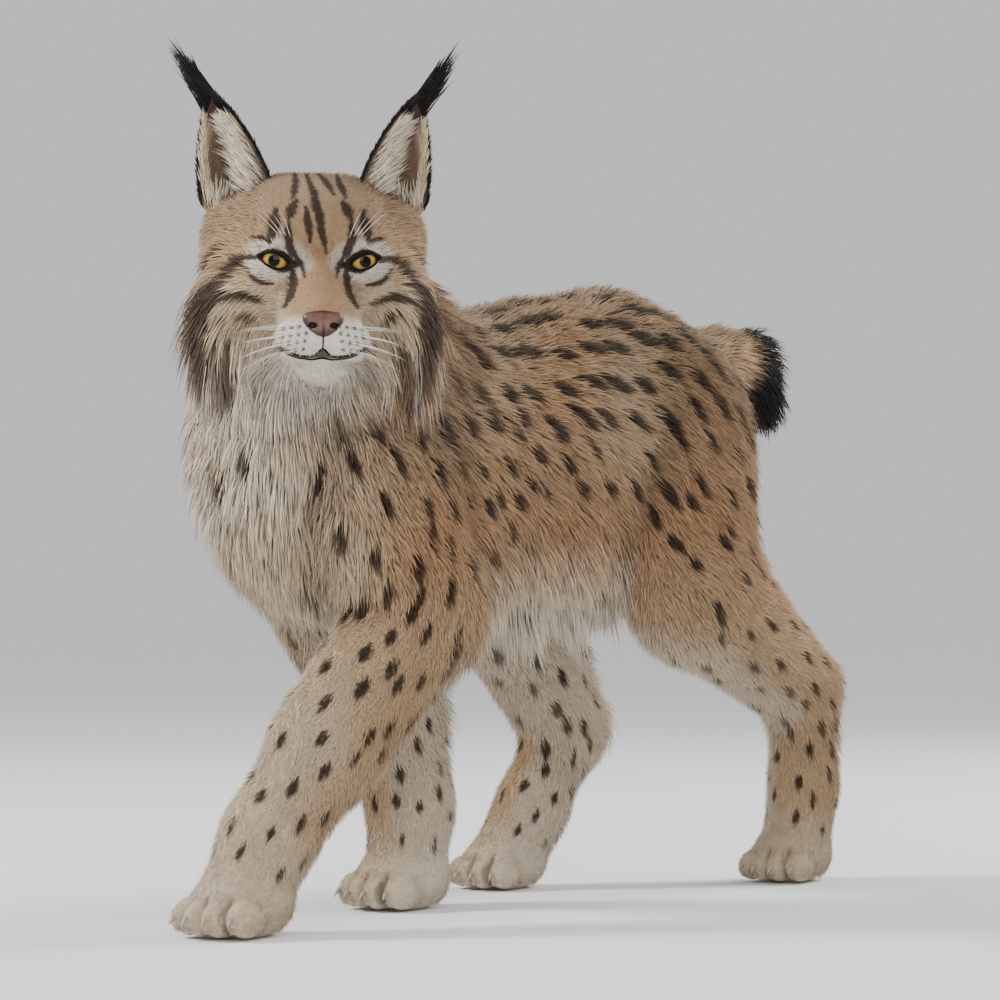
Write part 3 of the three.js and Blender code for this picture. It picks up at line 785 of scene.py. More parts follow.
def head_marks_and_painted_shade(local):
    """Colour of the head at places in its own frame, with painted shade under the lower lip, under the chin
    and in the opening of the mouth.
    """
    x, y, z = np.abs(local[:, 0]), local[:, 1], local[:, 2]
    head = Layers("face", len(local))
    head.lay("flank", ramp(x, 40, 80) * ramp(z, 60, 10))
    head.lay("smoke", ramp(z, 20, 90) * 0.35)
    head.lay("bridge", ramp(x, 26, 14) * ramp(z, 44, 14) * ramp(z, -52, -36) * ramp(y, -50, -70))
    head.lay("cream", ramp(z, 4, -24) * ramp(x, 24, 44))
    eye = np.hypot((x - EYE_PLACE[0]) / 31, (z - EYE_PLACE[2]) / 21)
    head.lay("white", ramp(eye, 1.2, 0.75) * ramp(y, -20, -46) * 0.75)
    head.lay("white", ramp(z, -38, -54) * ramp(y, -46, -78))
    head.lay("white", ramp(z, -78, -96))
    head.lay("cream", ramp(y, -36, 10) * ramp(z, 0, -40) * 0.6)
    head.lay("white", ramp(z, -50, -110) * ramp(y, -60, 0) * 0.75)
    head.lay("face", ramp(y, 18, 44) * ramp(z, -60, -10))
    upper, lower = almond_edges(x - EYE_PLACE[0])
    lid = np.maximum(z - EYE_PLACE[2] - upper, EYE_PLACE[2] + lower - z)
    lid = np.hypot(np.maximum(lid, 0), np.maximum(np.abs(x - EYE_PLACE[0]) - EYE_HALF, 0))
    head.lay("black", ramp(lid, 5.0, 3.0) * ramp(y, -28, -48))
    # Painted shade: a smoky grey under the lower lip.
    chin = ramp(z, -80, -86) * ramp(z, -112, -94) * ramp(x, 30, 16) * ramp(y, -60, -80)
    head.lay("smoke", chin * 0.3)
    head.lay("spot", stroke_cover(local) * 0.94)
    head.lay("spot", whisker_dots(local) * 0.8)
    # Painted shade: a dark colour under the chin.
    head.lay("spot", ramp(z, -104, -124) * ramp(x, 40, 22) * ramp(y, -90, -60) * 0.4)
    # Black along the lips, the lynx's own colour; in the middle, between the bowed upper line and the
    # straight lower one, the dark is painted shade for the opening of the mouth.
    lips = np.maximum(z - mouth_height(x, y), mouth_height(x, y, 0.0) - 2.4 - z)
    lips = ramp(lips, 2.0, 0.5) * ramp(x, MOUTH_HALF + 3, MOUTH_HALF - 3)
    head.lay("black", lips * ramp(y, -74, -84) * 0.9)
    return head.colour


def spot_cover(points):
    """1 on the spots of the trunk and the limbs, and 0 beside them."""
    cover = np.zeros(len(points))
    for begin in range(0, len(points), BATCH):
        batch = slice(begin, begin + BATCH)
        off = points[batch, None, :] - SPOTS[None]
        along = np.einsum("ijk,jk->ij", off, SPOT_LIES)
        above = np.einsum("ijk,jk->ij", off, SPOT_NORMALS)
        total = np.einsum("ijk,ijk->ij", off, off)
        beside = np.maximum(total - along ** 2 - above ** 2, 0)
        beside += FAR_OFF * (np.abs(above) > SPOT_THICKNESS)
        reach = np.abs(along) / SPOT_SIZES[:, 0]
        wide = np.sqrt(beside) / SPOT_SIZES[:, 1]
        cover[batch] = ramp((reach ** 1.5 + wide ** 1.5).min(1), 1.2, 0.72)
    return cover


def markings_and_painted_shade(points, coat):
    """Colour of the coat at each point of the body: its markings, with painted shade where the limbs join the
    trunk and between the toes.
    """
    share = coat["share"]
    legs = share["legs"]
    to_left, to_back, upward = coat["normal"].T
    y, height = points[:, 1], points[:, 2]
    body = Layers("flank", len(points))
    body.lay("rust", 0.5 + 0.25 * waves(points, 90.0, 0.7))
    body.lay("back", ramp(upward, 0.0, 0.75) * ramp(height, 400, 520))
    body.lay("smoke", (0.2 + 0.16 * waves(points, 60.0, 2.3)) * ramp(height, 380, 560))
    body.lay("leg", legs * ramp(height, 420, 260))
    body.lay("paw", legs * ramp(height, 110, 40))
    body.lay("pale", sum(share[name] * ramp(to_left * side_of(name), 0.0, -0.8) for name in LEGS) * 0.6)
    body.lay("pale", ramp(upward, -0.3, -0.85) * ramp(height, 520, 300) * (1 - legs * 0.4))
    bib = mix(0.2, 1.0, ramp(to_back, 0.3, -0.6)) * (1 - 0.6 * legs)
    bib *= 0.85 + 0.12 * waves(points, 34.0, 0.2)
    body.lay("cream", ramp(y, -250, -390) * ramp(height, 620, 470) * bib)
    body.lay("white", ramp(y, -320, -430) * ramp(height, 610, 480) * bib * 0.7)
    faint = mix(1.0, 0.75, ramp(upward, -0.1, -0.7)) * mix(1.0, 0.6, share["neck"])
    body.lay("spot", spot_cover(points) * faint * (1 - ramp(height, 60, 36) * legs) * 0.94)
    body.lay("black", share["tail"] * ramp(y, 436, 462))
    # Painted shade: the colour is darkened where the limbs join the trunk.
    body.colour *= (1 - 0.3 * coat["crease"])[:, None]
    # Painted shade: a dark colour in the grooves between the toes.
    body.lay("spot", coat["toe_gap"] * 0.55)
    faces = np.flatnonzero(coat["headness"] > 0.01)
    head = head_marks_and_painted_shade(coat["local"][faces])
    body.colour[faces] = mix(body.colour[faces], head, coat["headness"][faces, None])
    return body.colour


def coat_at(points, normals):
    """The coat at points of the skin, with the long hair of belly, chest, legs, tail and nape added."""
    coat = habit(points)
    share = coat["share"]
    to_back, upward = normals[:, 1], normals[:, 2]
    y, height = points[:, 1], points[:, 2]
    under = ramp(upward, -0.15, -0.8) * share["trunk"] * ramp(y, -260, -180)
    chest = ramp(to_back, -0.2, -0.8) * ramp(y, -240, -330) * (share["trunk"] + share["neck"])
    behind = ramp(to_back, 0.25, 0.85) * share["legs"] * ramp(height, 120, 200)
    tail_tip = share["tail"] * ramp(y, 430, 470)
    scruff = ramp(upward, 0.0, 0.6) * share["neck"]
    comb = 0.75 + 0.25 * waves(points, 26.0, 1.1)
    length = coat["length"] + 46 * under * comb + 20 * chest + 18 * behind + 12 * tail_tip + 18 * scruff
    facing = ramp(dot(coat["flow"], normals), 0.5, 0.95) * (1 - coat["headness"])
    pull = 0.9 * under + 0.7 * chest + 0.3 * behind + 2.2 * facing * ramp(upward, -0.8, -0.3)
    coat["normal"] = normals
    coat["length"] = length * (1 - 0.5 * coat["toe_gap"])
    coat["rise"] = coat["rise"] + 0.25 * under + 0.05 * chest + 0.12 * behind + 0.18 * scruff
    coat["flow"] = unit(coat["flow"] + DOWN * pull[:, None])
    coat["droop"] = 0.25 + 0.9 * under + 0.3 * chest
    return coat


# Materials.

class Reading:
    """A socket of a material, so that shader maths is written as plain sums."""

    def __init__(self, finish, socket):
        self.finish = finish
        self.socket = socket

    def math(self, operation, *others):
        return self.finish.node("ShaderNodeMath", {"operation": operation}, dict(enumerate((self, *others))))

    def __add__(self, other):
        return self.math("ADD", other)

    def __sub__(self, other):
        return self.math("SUBTRACT", other)

    def __mul__(self, other):
        return self.math("MULTIPLY", other)

    def __truediv__(self, other):
        return self.math("DIVIDE", other)

    def __rsub__(self, other):
        return self.finish.node("ShaderNodeMath", {"operation": "SUBTRACT"}, {0: other, 1: self})

    __radd__ = __add__
    __rmul__ = __mul__

    def band(self, low, high):
        """0 at low and 1 at high, clamped."""
        settings = {"clamp": True, "interpolation_type": "SMOOTHSTEP"}
        ends = {"From Min": low, "From Max": high, "To Min": 0.0, "To Max": 1.0}
        if low > high:
            ends = {"From Min": high, "From Max": low, "To Min": 1.0, "To Max": 0.0}
        return self.finish.node("ShaderNodeMapRange", settings, {"Value": self, **ends})


class Finish:
    """A material made of one principled shader; its constants are set on the shader itself."""

    def __init__(self, name, **constants):
        self.material = bpy.data.materials.new(name)
        self.material.use_nodes = True
        self.tree = self.material.node_tree
        self.shader = next(n for n in self.tree.nodes if n.type == "BSDF_PRINCIPLED")
        for key, value in constants.items():
            self.shader.inputs[key.replace("_", " ").title().replace("Ior", "IOR")].default_value = value

    def node(self, kind, settings=None, inputs=None, output=0):
        made = self.tree.nodes.new(kind)
        for key, value in (settings or {}).items():
            if key == "stops":
                stops = made.color_ramp.elements
                stops.remove(stops[-1])
                stops[0].position, stops[0].color = value[0][0], (*value[0][1], 1)
                for place, colour in value[1:]:
                    stops.new(place).color = (*colour, 1)
            else:
                setattr(made, key, value)
        for key, value in (inputs or {}).items():
            if isinstance(value, Reading):
                self.tree.links.new(value.socket, made.inputs[key])
            else:
                made.inputs[key].default_value = value
        return Reading(self, made.outputs[output])

    def feed(self, name, reading):
        self.tree.links.new(reading.socket, self.shader.inputs[name])

    def place(self):
        return self.node("ShaderNodeTexCoord", output="Object")

    def attribute(self, name):
        return self.node("ShaderNodeAttribute", {"attribute_name": name}, output="Color")

    def noise(self, scale, detail=3.0, rough=0.55, stretch=None):
        place = self.place()
        if stretch:
            place = self.node("ShaderNodeMapping", None, {"Vector": place, "Scale": stretch})
        return self.node("ShaderNodeTexNoise", None,
                         {"Vector": place, "Scale": scale, "Detail": detail, "Roughness": rough})

    def tint(self, colour, factor, other):
        settings = {"data_type": "RGBA", "blend_type": "MIX"}
        return self.node("ShaderNodeMix", settings, {0: factor, 6: colour, 7: other}, output=2)

    def times(self, colour, value):
        grey = self.node("ShaderNodeCombineColor", None, {0: value, 1: value, 2: value})
        settings = {"data_type": "RGBA", "blend_type": "MULTIPLY"}
        return self.node("ShaderNodeMix", settings, {0: 1.0, 6: colour, 7: grey}, output=2)

    def bump(self, height, strength, distance):
        self.feed("Normal", self.node("ShaderNodeBump", None,
                                      {"Height": height, "Strength": strength, "Distance": distance}))

    def give(self, piece, slot):
        piece.data.materials.clear()
        piece.data.materials.append(self.material)


def finish_coat():
    coat = Finish("winter_coat", roughness=0.78, specular_ior_level=0.28)
    patchy = coat.noise(38.0, 2.0)
    fine = coat.noise(420.0, 2.0)
    shade = 0.74 + patchy * 0.26 + fine * 0.3
    coat.feed("Base Color", coat.times(coat.attribute("coat_colour"), shade))
    return coat


def finish_skin():
    skin = Finish("short_underfur", roughness=0.85, specular_ior_level=0.2)
    grain = skin.noise(260.0, 4.0)
    hairs = skin.noise(90.0, 3.0, stretch=(1.0, 0.25, 1.0))
    # The skin is darkened as a whole, painted shade for the depth under the tufts, and varied by its grain
    # and streaks of hair.
    shade = 0.52 + grain * 0.3 + hairs * 0.22
    skin.feed("Base Color", skin.times(skin.attribute("coat_colour"), shade))
    skin.bump(grain + hairs * 0.6, 0.8, 0.0025)
    return skin


def finish_eye(name, centre, looking):
    eye = Finish(name, roughness=0.12, coat_weight=0.3, coat_roughness=0.03, specular_ior_level=0.0)
    place = eye.place()
    middle = tuple(to_metres(centre))
    off = eye.node("ShaderNodeVectorMath", {"operation": "SUBTRACT"}, {0: place, 1: middle})
    depth = eye.node("ShaderNodeVectorMath", {"operation": "DOT_PRODUCT"}, {0: off, 1: tuple(looking)},
                     output="Value")
    length = eye.node("ShaderNodeVectorMath", {"operation": "LENGTH"}, {0: off}, output="Value")
    outward_share = (depth / length).math("MINIMUM", 1.0).math("ARCCOSINE")
    spread = outward_share * (EYE_RADIUS / IRIS_RADIUS)
    streaks = eye.noise(900.0, 3.0)
    cloudy = eye.noise(260.0, 2.0)
    place_in_iris = spread + (streaks - 0.5) * 0.06
    iris = eye.node("ShaderNodeValToRGB", {"stops": [
        (0.0, linear(4, 3, 3)),
        (0.33, linear(5, 4, 3)),
        (0.37, linear(104, 84, 34)),
        (0.5, linear(182, 156, 76)),
        (0.74, linear(172, 132, 52)),
        (0.88, linear(110, 72, 26)),
        (0.96, linear(16, 11, 8)),
    ]}, {"Fac": place_in_iris})
    eye.feed("Base Color", eye.times(iris, 0.78 + streaks * 0.3 + cloudy * 0.16))
    return eye


def finish_leather():
    leather = Finish("nose_leather", roughness=0.42, specular_ior_level=0.4, coat_weight=0.12,
                     coat_roughness=0.35)
    pebbles = leather.node("ShaderNodeTexVoronoi", {"feature": "F1"},
                           {"Vector": leather.place(), "Scale": 900.0}, output="Distance")
    blotch = leather.noise(120.0, 3.0)
    # The attribute darkens the rim of the leather, and paints shade in the nostrils and the groove.
    edge = leather.attribute("edge")
    pink = leather.tint((*linear(116, 76, 63), 1), blotch.band(0.35, 0.75), (*linear(80, 50, 43), 1))
    tone = leather.tint(pink, edge, (*linear(30, 20, 19), 1))
    leather.feed("Base Color", leather.times(tone, 0.8 + pebbles * 0.4))
    leather.bump(pebbles, 0.35, 0.0006)
    return leather


def finish_plain(name, colour, roughness, vary=0.25, scale=300.0, **constants):
    plain = Finish(name, roughness=roughness, **constants)
    grain = plain.noise(scale, 3.0)
    base = plain.tint((*colour, 1), grain, (*(np.array(colour) * (1 - vary)), 1))
    plain.feed("Base Color", base)
    plain.bump(grain, 0.2, 0.0004)
    return plain


# Skin.

START_DEPTH = 5


def start_shapes():
    """Round primitives along every form, a little smaller than the form."""
    made = []
    turn = Matrix(HEAD_AXES).to_euler()
    for form in ALL_FORMS:
        in_head = form.region == "head"
        size = math.sqrt(form.length)
        steps = max(1, math.ceil(size / (0.3 * min(form.radii))))
        for i in range(steps + 1 if size > 1 else 1):
            t = i / steps
            centre = form.start + form.along * t
            radius = mix(*form.radii, t) - START_DEPTH
            place = to_metres(from_head(centre) if in_head else centre)
            bpy.ops.mesh.primitive_uv_sphere_add(
                segments=16, ring_count=10, radius=1, location=place,
                rotation=turn if in_head else (0, 0, 0), scale=mix(*form.shapes, t) * radius * MM)
            made.append(bpy.context.object)
    return made


def eye_frame(side):
    """Centre of an eye and its axes: forward, outward and upward."""
    looking = unit(np.array([side * 0.2, -1, -0.02]))
    across = unit(np.array([side, 0, 0]) - looking * (side * looking[0]))
    upright = unit(np.array([0, 0, 1]) - looking * looking[2] - across * across[2])
    return EYE_PLACE * (side, 1, 1), looking, across, upright


def almond_edges(places):
    """Height of the upper and lower lid along the width of the eye."""
    t = np.linspace(0, 1, 41)
    across = curve(-EYE_HALF, -1, EYE_HALF, t)
    upper, lower = curve(-4, 14.5, 4.0, t), curve(-4, -14, 4.0, t)
    return np.interp(places, across, upper), np.interp(places, across, lower)


def in_opening(local, side, past_corner, past_lid, past_ball):
    """Which places lie in front of an eye between its lids, or at most so far past them."""
    centre, looking, across, upright = eye_frame(side)
    off = local - centre
    a, u = off @ across, off @ upright
    upper, lower = almond_edges(a)
    inside = (np.abs(a) < EYE_HALF + past_corner) & (u < upper + past_lid) & (u > lower - past_lid)
    return inside & (off @ looking > 0) & (np.linalg.norm(off, axis=1) < EYE_RADIUS + past_ball)


def open_eyes(points):
    """Skin inside the opening of each eye goes behind the eyeball."""
    local = to_head(points)
    for side in SIDES.values():
        inside = in_opening(local, side, past_corner=0, past_lid=0.2, past_ball=16)
        centre = eye_frame(side)[0]
        off = local[inside] - centre
        local[inside] = centre + off / np.linalg.norm(off, axis=1)[:, None] * (EYE_RADIUS - 3.5)
    return from_head(local)


def open_nose(points):
    """Skin behind the nose leather goes back, clear of the nostrils."""
    local = to_head(points)
    x, z = local[:, 0], local[:, 2] - LEATHER[2]
    behind = ramp(np.hypot(x / (15.5 + 0.3 * z), z / 11), 1.12, 0.75) * (local[:, 1] < -100)
    local[:, 1] += 11 * behind
    return from_head(local)


def settle(points, pairs, rounds, smooth):
    """Draws the skin to its depth under the coat."""
    for _ in range(rounds):
        points = relaxed(points, pairs, smooth)
        coat = habit(points)
        points = points - outward(points) * (coat["distance"] + coat["depth"])[:, None]
    return points


def on_face_side(points):
    """The front of the head, from the ears to the chin."""
    return within(to_head(points), (-105, -170, -125), (105, 22, 96))


def in_detail(points):
    """Round the eyes, on the muzzle and at the toes, where the skin is finest."""
    local = to_head(points)
    chosen = within(local, (-np.inf, -np.inf, -112), (np.inf, -72, -20))
    for side in SIDES.values():
        chosen |= np.linalg.norm(local - eye_frame(side)[0], axis=1) < 30
    for name in LEGS:
        centres, turn, scale = toe_centres(name)
        off = (points - centres.mean(0)) @ turn
        chosen |= within(off[:, :2], (-60, -34), (60, 34)) & (points[:, 2] < 48)
    return chosen


def split_faces(piece, chosen):
    """Cuts the faces that begin at a chosen vertex in four."""
    select_only(piece)
    bpy.ops.object.mode_set(mode="EDIT")
    bpy.ops.mesh.select_all(action="DESELECT")
    bpy.ops.object.mode_set(mode="OBJECT")
    corners = rows_of(piece.data.loops, "vertex_index", 1, np.int32)[:, 0]
    starts = rows_of(piece.data.polygons, "loop_start", 1, np.int32)[:, 0]
    piece.data.polygons.foreach_set("select", chosen[corners[starts]])
    bpy.ops.object.mode_set(mode="EDIT")
    bpy.ops.mesh.subdivide(number_cuts=1)
    bpy.ops.object.mode_set(mode="OBJECT")


def make_skin(voxel):
    """The skin: the forms in one, drawn to its depth, with smaller faces where the face and toes are."""
    skin = joined(start_shapes(), "skin")
    apply_modifier(skin, "REMESH", mode="VOXEL", voxel_size=voxel, adaptivity=0.0)
    points = settle(from_metres(vertices_of(skin)), edges_of(skin), rounds=3, smooth=0.5)
    move_vertices(skin, to_metres(points))
    split_faces(skin, on_face_side(points))
    split_faces(skin, in_detail(from_metres(vertices_of(skin))))
    points = settle(from_metres(vertices_of(skin)), edges_of(skin), rounds=2, smooth=0.25)
    places = to_metres(open_nose(open_eyes(points)))
    places[:, 2] = np.maximum(places[:, 2], 0)
    move_vertices(skin, places)
    smooth_and_outward(skin)
    paint(skin, markings_and_painted_shade(points, coat_at(points, outward(points))))
    return skin


# Coat.

# Most triangles in a piece, and how far the coat keeps off the floor, in metres.
PIECE_LIMIT = 190000
FLOOR_GAP = 0.0003
SQUARE_CENTIMETRE = 100
SOLE_HEIGHT = 7
ROOT_SINK = 1.5
BEND_SHARE = 0.45
ROOT_SHADE = 0.6
TIP_SHADE = 1.12
# Half the width of a tuft on the bake map, and the free edge of the map.
PATCH = 0.0015
EDGE = 0.01


def walls(rings, sides):
    """Triangles between rings of corners that stand one past the other."""
    faces = []
    for low in range(0, (rings - 1) * sides, sides):
        for i in range(sides):
            j = (i + 1) % sides
            faces += [(low + i, low + sides + i, low + j), (low + j, low + sides + i, low + sides + j)]
    return faces


def fan(first, sides, tip):
    """Triangles from a ring of corners, the first of which is given, to one tip."""
    return [(first + i, tip, first + (i + 1) % sides) for i in range(sides)]


def for_each(faces, count, corners):
    """The faces of one small mesh, again for each of count meshes with so many corners each."""
    return (np.array(faces)[None] + (np.arange(count) * corners)[:, None, None]).reshape(-1, 3)


def tufts_of(rings, tufts):
    """Vertices, faces, colours and bake places of closed, tapered, bent tufts with three sides each."""
    normals, rises, size = tufts["normal"], tufts["rise"], tufts["length"][:, None]
    side = unit(np.cross(normals, tufts["lie"]))
    steep = np.clip(rises * 1.7, 0, 0.95)[:, None]
    first = unit(tufts["lie"] * np.sqrt(1 - steep ** 2) + normals * steep)
    fall = tufts["droop"][:, None] * DOWN
    last = unit(tufts["lie"] + normals * (rises * 0.25 - tufts["bend"])[:, None] + fall)
    start = tufts["root"] - normals * ROOT_SINK
    levels = np.linspace(0, 1, rings + 1)[:-1]
    layers = []
    for v in levels:
        centre = start + size * (first * (v - BEND_SHARE * v * v) + last * BEND_SHARE * v * v)
        half = tufts["width"][:, None] * 0.5 * (1 - v ** 1.6) ** 0.8 * (0.8 + 0.5 * v)
        layers += [centre - side * half, centre + side * half, centre + normals * half * 0.8]
    layers.append(start + size * (first * (1 - BEND_SHARE) + last * BEND_SHARE))
    corners = len(layers)
    vertices = to_metres(np.stack(layers, 1))
    vertices[:, :, 2] = np.maximum(vertices[:, :, 2], FLOOR_GAP)
    faces = [(0, 1, 2), *walls(rings, 3), *fan(corners - 4, 3, corners - 1)]
    shade = np.concatenate([np.repeat(mix(ROOT_SHADE, 1.0, levels), 3), [TIP_SHADE]])
    colours = tufts["colour"][:, None, :] * shade[None, :, None]
    angles = np.arange(corners) * 2.4
    places = tufts["place"][:, None, :] + PATCH * np.stack([np.sin(angles), np.cos(angles)], 1)[None]
    return (vertices.reshape(-1, 3), for_each(faces, len(start), corners), colours.reshape(-1, 3),
            places.reshape(-1, 2))


def tuft_mesh(name, tufts):
    """One piece of coat from tufts given as arrays of equal length."""
    parts = []
    for rings in np.unique(tufts["rings"]):
        mine = tufts["rings"] == rings
        parts.append(tufts_of(int(rings), {key: values[mine] for key, values in tufts.items()}))
    vertices, faces, colours, places = zip(*parts)
    offsets = np.cumsum([0, *(len(part) for part in vertices)])
    faces = np.concatenate([part + offset for part, offset in zip(faces, offsets)])
    piece = mesh_piece(name, np.concatenate(vertices), faces)
    paint(piece, np.concatenate(colours))
    layer = piece.data.uv_layers.new(name="OFBake")
    layer.data.foreach_set("uv", np.concatenate(places)[faces.ravel()].astype(np.float32).ravel())
    return piece


# Ends of the regions along the body, and the height of the axis that each is unwrapped round.
UNWRAPS = {"trunk": (-420, 400, 490), "neck": (-460, -150, 560), "tail": (320, 520, 592)}


def unwrap(points, region):
    """Place of each root on an unwrap round the region's own axis."""
    if region == "head":
        local = to_head(points)
        u = np.arctan2(local[:, 0], -local[:, 1])
        v = (local[:, 2] + 190) / 330
    elif region in LEGS:
        line = np.array([LEGS[region]["paw"], *joints_of(region)[::-1]], float)
        x, y = (np.interp(points[:, 2], line[:, 2], line[:, axis]) for axis in (0, 1))
        u = np.arctan2(points[:, 0] - x, points[:, 1] - y)
        v = points[:, 2] / 560
    else:
        low, high, centre = UNWRAPS[region]
        u = np.arctan2(points[:, 0], points[:, 2] - centre)
        v = (points[:, 1] - low) / (high - low)
    return EDGE + (1 - 2 * EDGE) * np.stack([u / (2 * math.pi) + 0.5, np.clip(v, 0, 1)], 1)


def bare_skin(points, local):
    """Where no tuft stands: in the eyes' openings, under the nose leather, on lips and soles."""
    x, y, z = local.T
    left, right = (in_opening(local, side, past_corner=1.5, past_lid=1.8, past_ball=14)
                   for side in SIDES.values())
    nose = (np.abs(x) < 17.5 - 0.22 * (LEATHER[2] + 13 - z)) & (np.abs(z - LEATHER[2]) < 13) & (y < -100)
    lips = (z < mouth_height(x, y) + 1.6) & (z > mouth_height(x, y, 0.0) - 4.0)
    lips &= (np.abs(x) < MOUTH_HALF + 1) & (y < -78)
    return left | right | nose | lips | (points[:, 2] < SOLE_HEIGHT)


def scatter(skin, thickness, seed):
    """Roots spread over the skin by the coat's density, with the skin's normals there."""
    rng = np.random.default_rng(seed)
    points = from_metres(vertices_of(skin))
    corners = triangles_of(skin)
    a, b, c = (points[corners[:, i]] for i in range(3))
    area = np.linalg.norm(np.cross(b - a, c - a), axis=1) / 2
    middle = (a + b + c) / 3
    coat = habit(middle)
    density = coat["density"] * mix(1, 0.55, coat["ruff"]) * thickness
    expected = area / SQUARE_CENTIMETRE * density
    expected[bare_skin(middle, coat["local"])] = 0
    number = np.floor(expected + rng.random(len(expected))).astype(int)
    picks = np.repeat(np.arange(len(area)), number)
    u, v = rng.random(len(picks)), rng.random(len(picks))
    flip = u + v > 1
    u[flip], v[flip] = 1 - u[flip], 1 - v[flip]
    roots = a[picks] + (b - a)[picks] * u[:, None] + (c - a)[picks] * v[:, None]
    whole = vertex_normals(skin)
    shares = (1 - u - v, u, v)
    normals = unit(sum(whole[corners[picks, i]] * shares[i][:, None] for i in range(3)))
    return roots, normals, rng


def tree_of(places):
    """A tree in which the place nearest to a point is soon found."""
    tree = kdtree.KDTree(len(places))
    for i, place in enumerate(places):
        tree.insert(place, i)
    tree.balance()
    return tree


def nearest_in(places, points):
    tree = tree_of(places)
    return [tree.find(point)[1] for point in points]


def gather_tips(roots, lies, lengths, share, spacing, rng):
    """Turns each tuft a little towards the tip of a neighbour that leads it."""
    leaders = np.flatnonzero(rng.random(len(roots)) < spacing)
    leader = leaders[nearest_in(roots[leaders], roots)]
    tips = roots[leader] + lies[leader] * lengths[leader, None]
    return unit(mix(lies, unit(tips - roots), share[:, None])), leader


def falling_away(skin, roots, normals, lies, lengths):
    """How far the skin turns away under each tuft, or towards it where the form is hollow."""
    ends = roots + lies * (lengths * 0.8)[:, None]
    turned = vertex_normals(skin)[nearest_in(from_metres(vertices_of(skin)), ends)] - normals
    return np.clip(dot(turned, lies), -0.45, 0.8)


def coat_of_region(name, tufts, mine):
    """The tufts of one region from front to back, in as many pieces as the limit asks for."""
    roots = tufts["root"]
    tufts["place"][mine] = unwrap(roots[mine], name)
    order = mine[np.argsort(roots[mine, 1], kind="stable")]
    triangles = np.cumsum(6 * tufts["rings"][order] - 2)
    count = math.ceil(triangles[-1] / PIECE_LIMIT)
    which = (triangles - 1) * count // triangles[-1]
    made = []
    for part in range(count):
        suffix = f"_{part + 1}" if count > 1 else ""
        batch = {key: values[order[which == part]] for key, values in tufts.items()}
        made.append(tuft_mesh(f"coat_{name}{suffix}", batch))
    return made


def make_coat(skin, thickness):
    """The tufts of the whole skin; longer hair lies in strands that end together."""
    roots, normals, rng = scatter(skin, thickness, 5)
    count = len(roots)
    coat = coat_at(roots, normals)
    lies = pressed(coat["flow"], normals)
    sideways = np.cross(normals, lies)
    turn = 0.1 * waves(roots, 21.0, 0.4) + 0.07 * waves(roots, 9.0, 1.9) + rng.normal(0, 0.13, count)
    lies = unit(lies + sideways * turn[:, None])
    lengths = coat["length"] * rng.uniform(0.72, 1.2, count)
    long_hair = ramp(coat["length"], 12, 30)
    lies, leader = gather_tips(roots, lies, lengths, 0.45 * long_hair, 0.07, rng)
    lengths *= 1 + 0.16 * long_hair * np.sin(leader * 1.7)
    bend = falling_away(skin, roots, normals, lies, lengths) * mix(0.95, 0.3, long_hair)
    seen = roots + lies * (lengths * 0.4)[:, None]
    colours = markings_and_painted_shade(seen, coat_at(seen, normals))
    spread = mix(0.13, 0.2, coat["headness"])
    colours *= (1 - 0.02 + spread * rng.uniform(-1, 1, count))[:, None]
    colours *= (1 + 0.07 * long_hair * np.sin(leader * 2.9))[:, None]
    colours *= 1 + rng.normal(0, 0.025, (count, 3))
    straight = rng.random(count) < mix(0.96, 0.66, ramp(coat["length"], 14, 24))
    rings = np.where(coat["length"] > 42, 3, 2)
    rings[straight & (coat["length"] < 50)] = 1
    tufts = {
        "root": roots,
        "normal": normals,
        "lie": lies,
        "length": lengths,
        "rise": coat["rise"] * rng.uniform(0.75, 1.25, count) * (1 + 0.25 * straight),
        "width": coat["width"] * rng.uniform(0.75, 1.25, count) * (1 + 0.7 * coat["ruff"]),
        "droop": coat["droop"],
        "bend": bend,
        "colour": colours,
        "rings": rings,
        "place": np.zeros((count, 2)),
    }
    region = coat["regions"].argmax(1)
    made = []
    for index, name in enumerate(REGIONS):
        mine = np.flatnonzero(region == index)
        if len(mine):
            made += coat_of_region(name, tufts, mine)
    return made


# Ears.

def ear_axes(side):
    base = np.array([side * 69.0, 22.0, 62.0])
    tip = np.array([side * 99.0, 16.0, 62 + EAR_LENGTH * 0.95])
    axis = unit(tip - base)
    opening = np.array([side * 0.3, -0.94, 0.1])
    opening = unit(opening - axis * (opening @ axis))
    return base, axis, opening, unit(np.cross(axis, opening))


def ear_half(v):
    """Half the width of an ear at heights v, drawn in where it sinks into the head."""
    up = np.clip(v, 0, 1)
    return (EAR_HALF * (1 - up ** 1.9) ** 0.85 + 1.0) * mix(0.66, 1, ramp(v, -0.1, 0.16))


def ear_points(side, a, v, depth):
    """Places on an ear: a across it from -1 to 1, v from its root to its tip."""
    base, axis, opening, across = ear_axes(side)
    v = np.asarray(v, float)
    up = np.clip(v, 0, 1)
    half = ear_half(v)
    cup = 30 * (1 - up) ** 0.8 * (1 - a * a) + 4 * up
    reach = depth - cup + 12 * (1 - up)
    local = base + v[:, None] * EAR_LENGTH * axis + (a * half)[:, None] * across + reach[:, None] * opening
    return from_head(local)


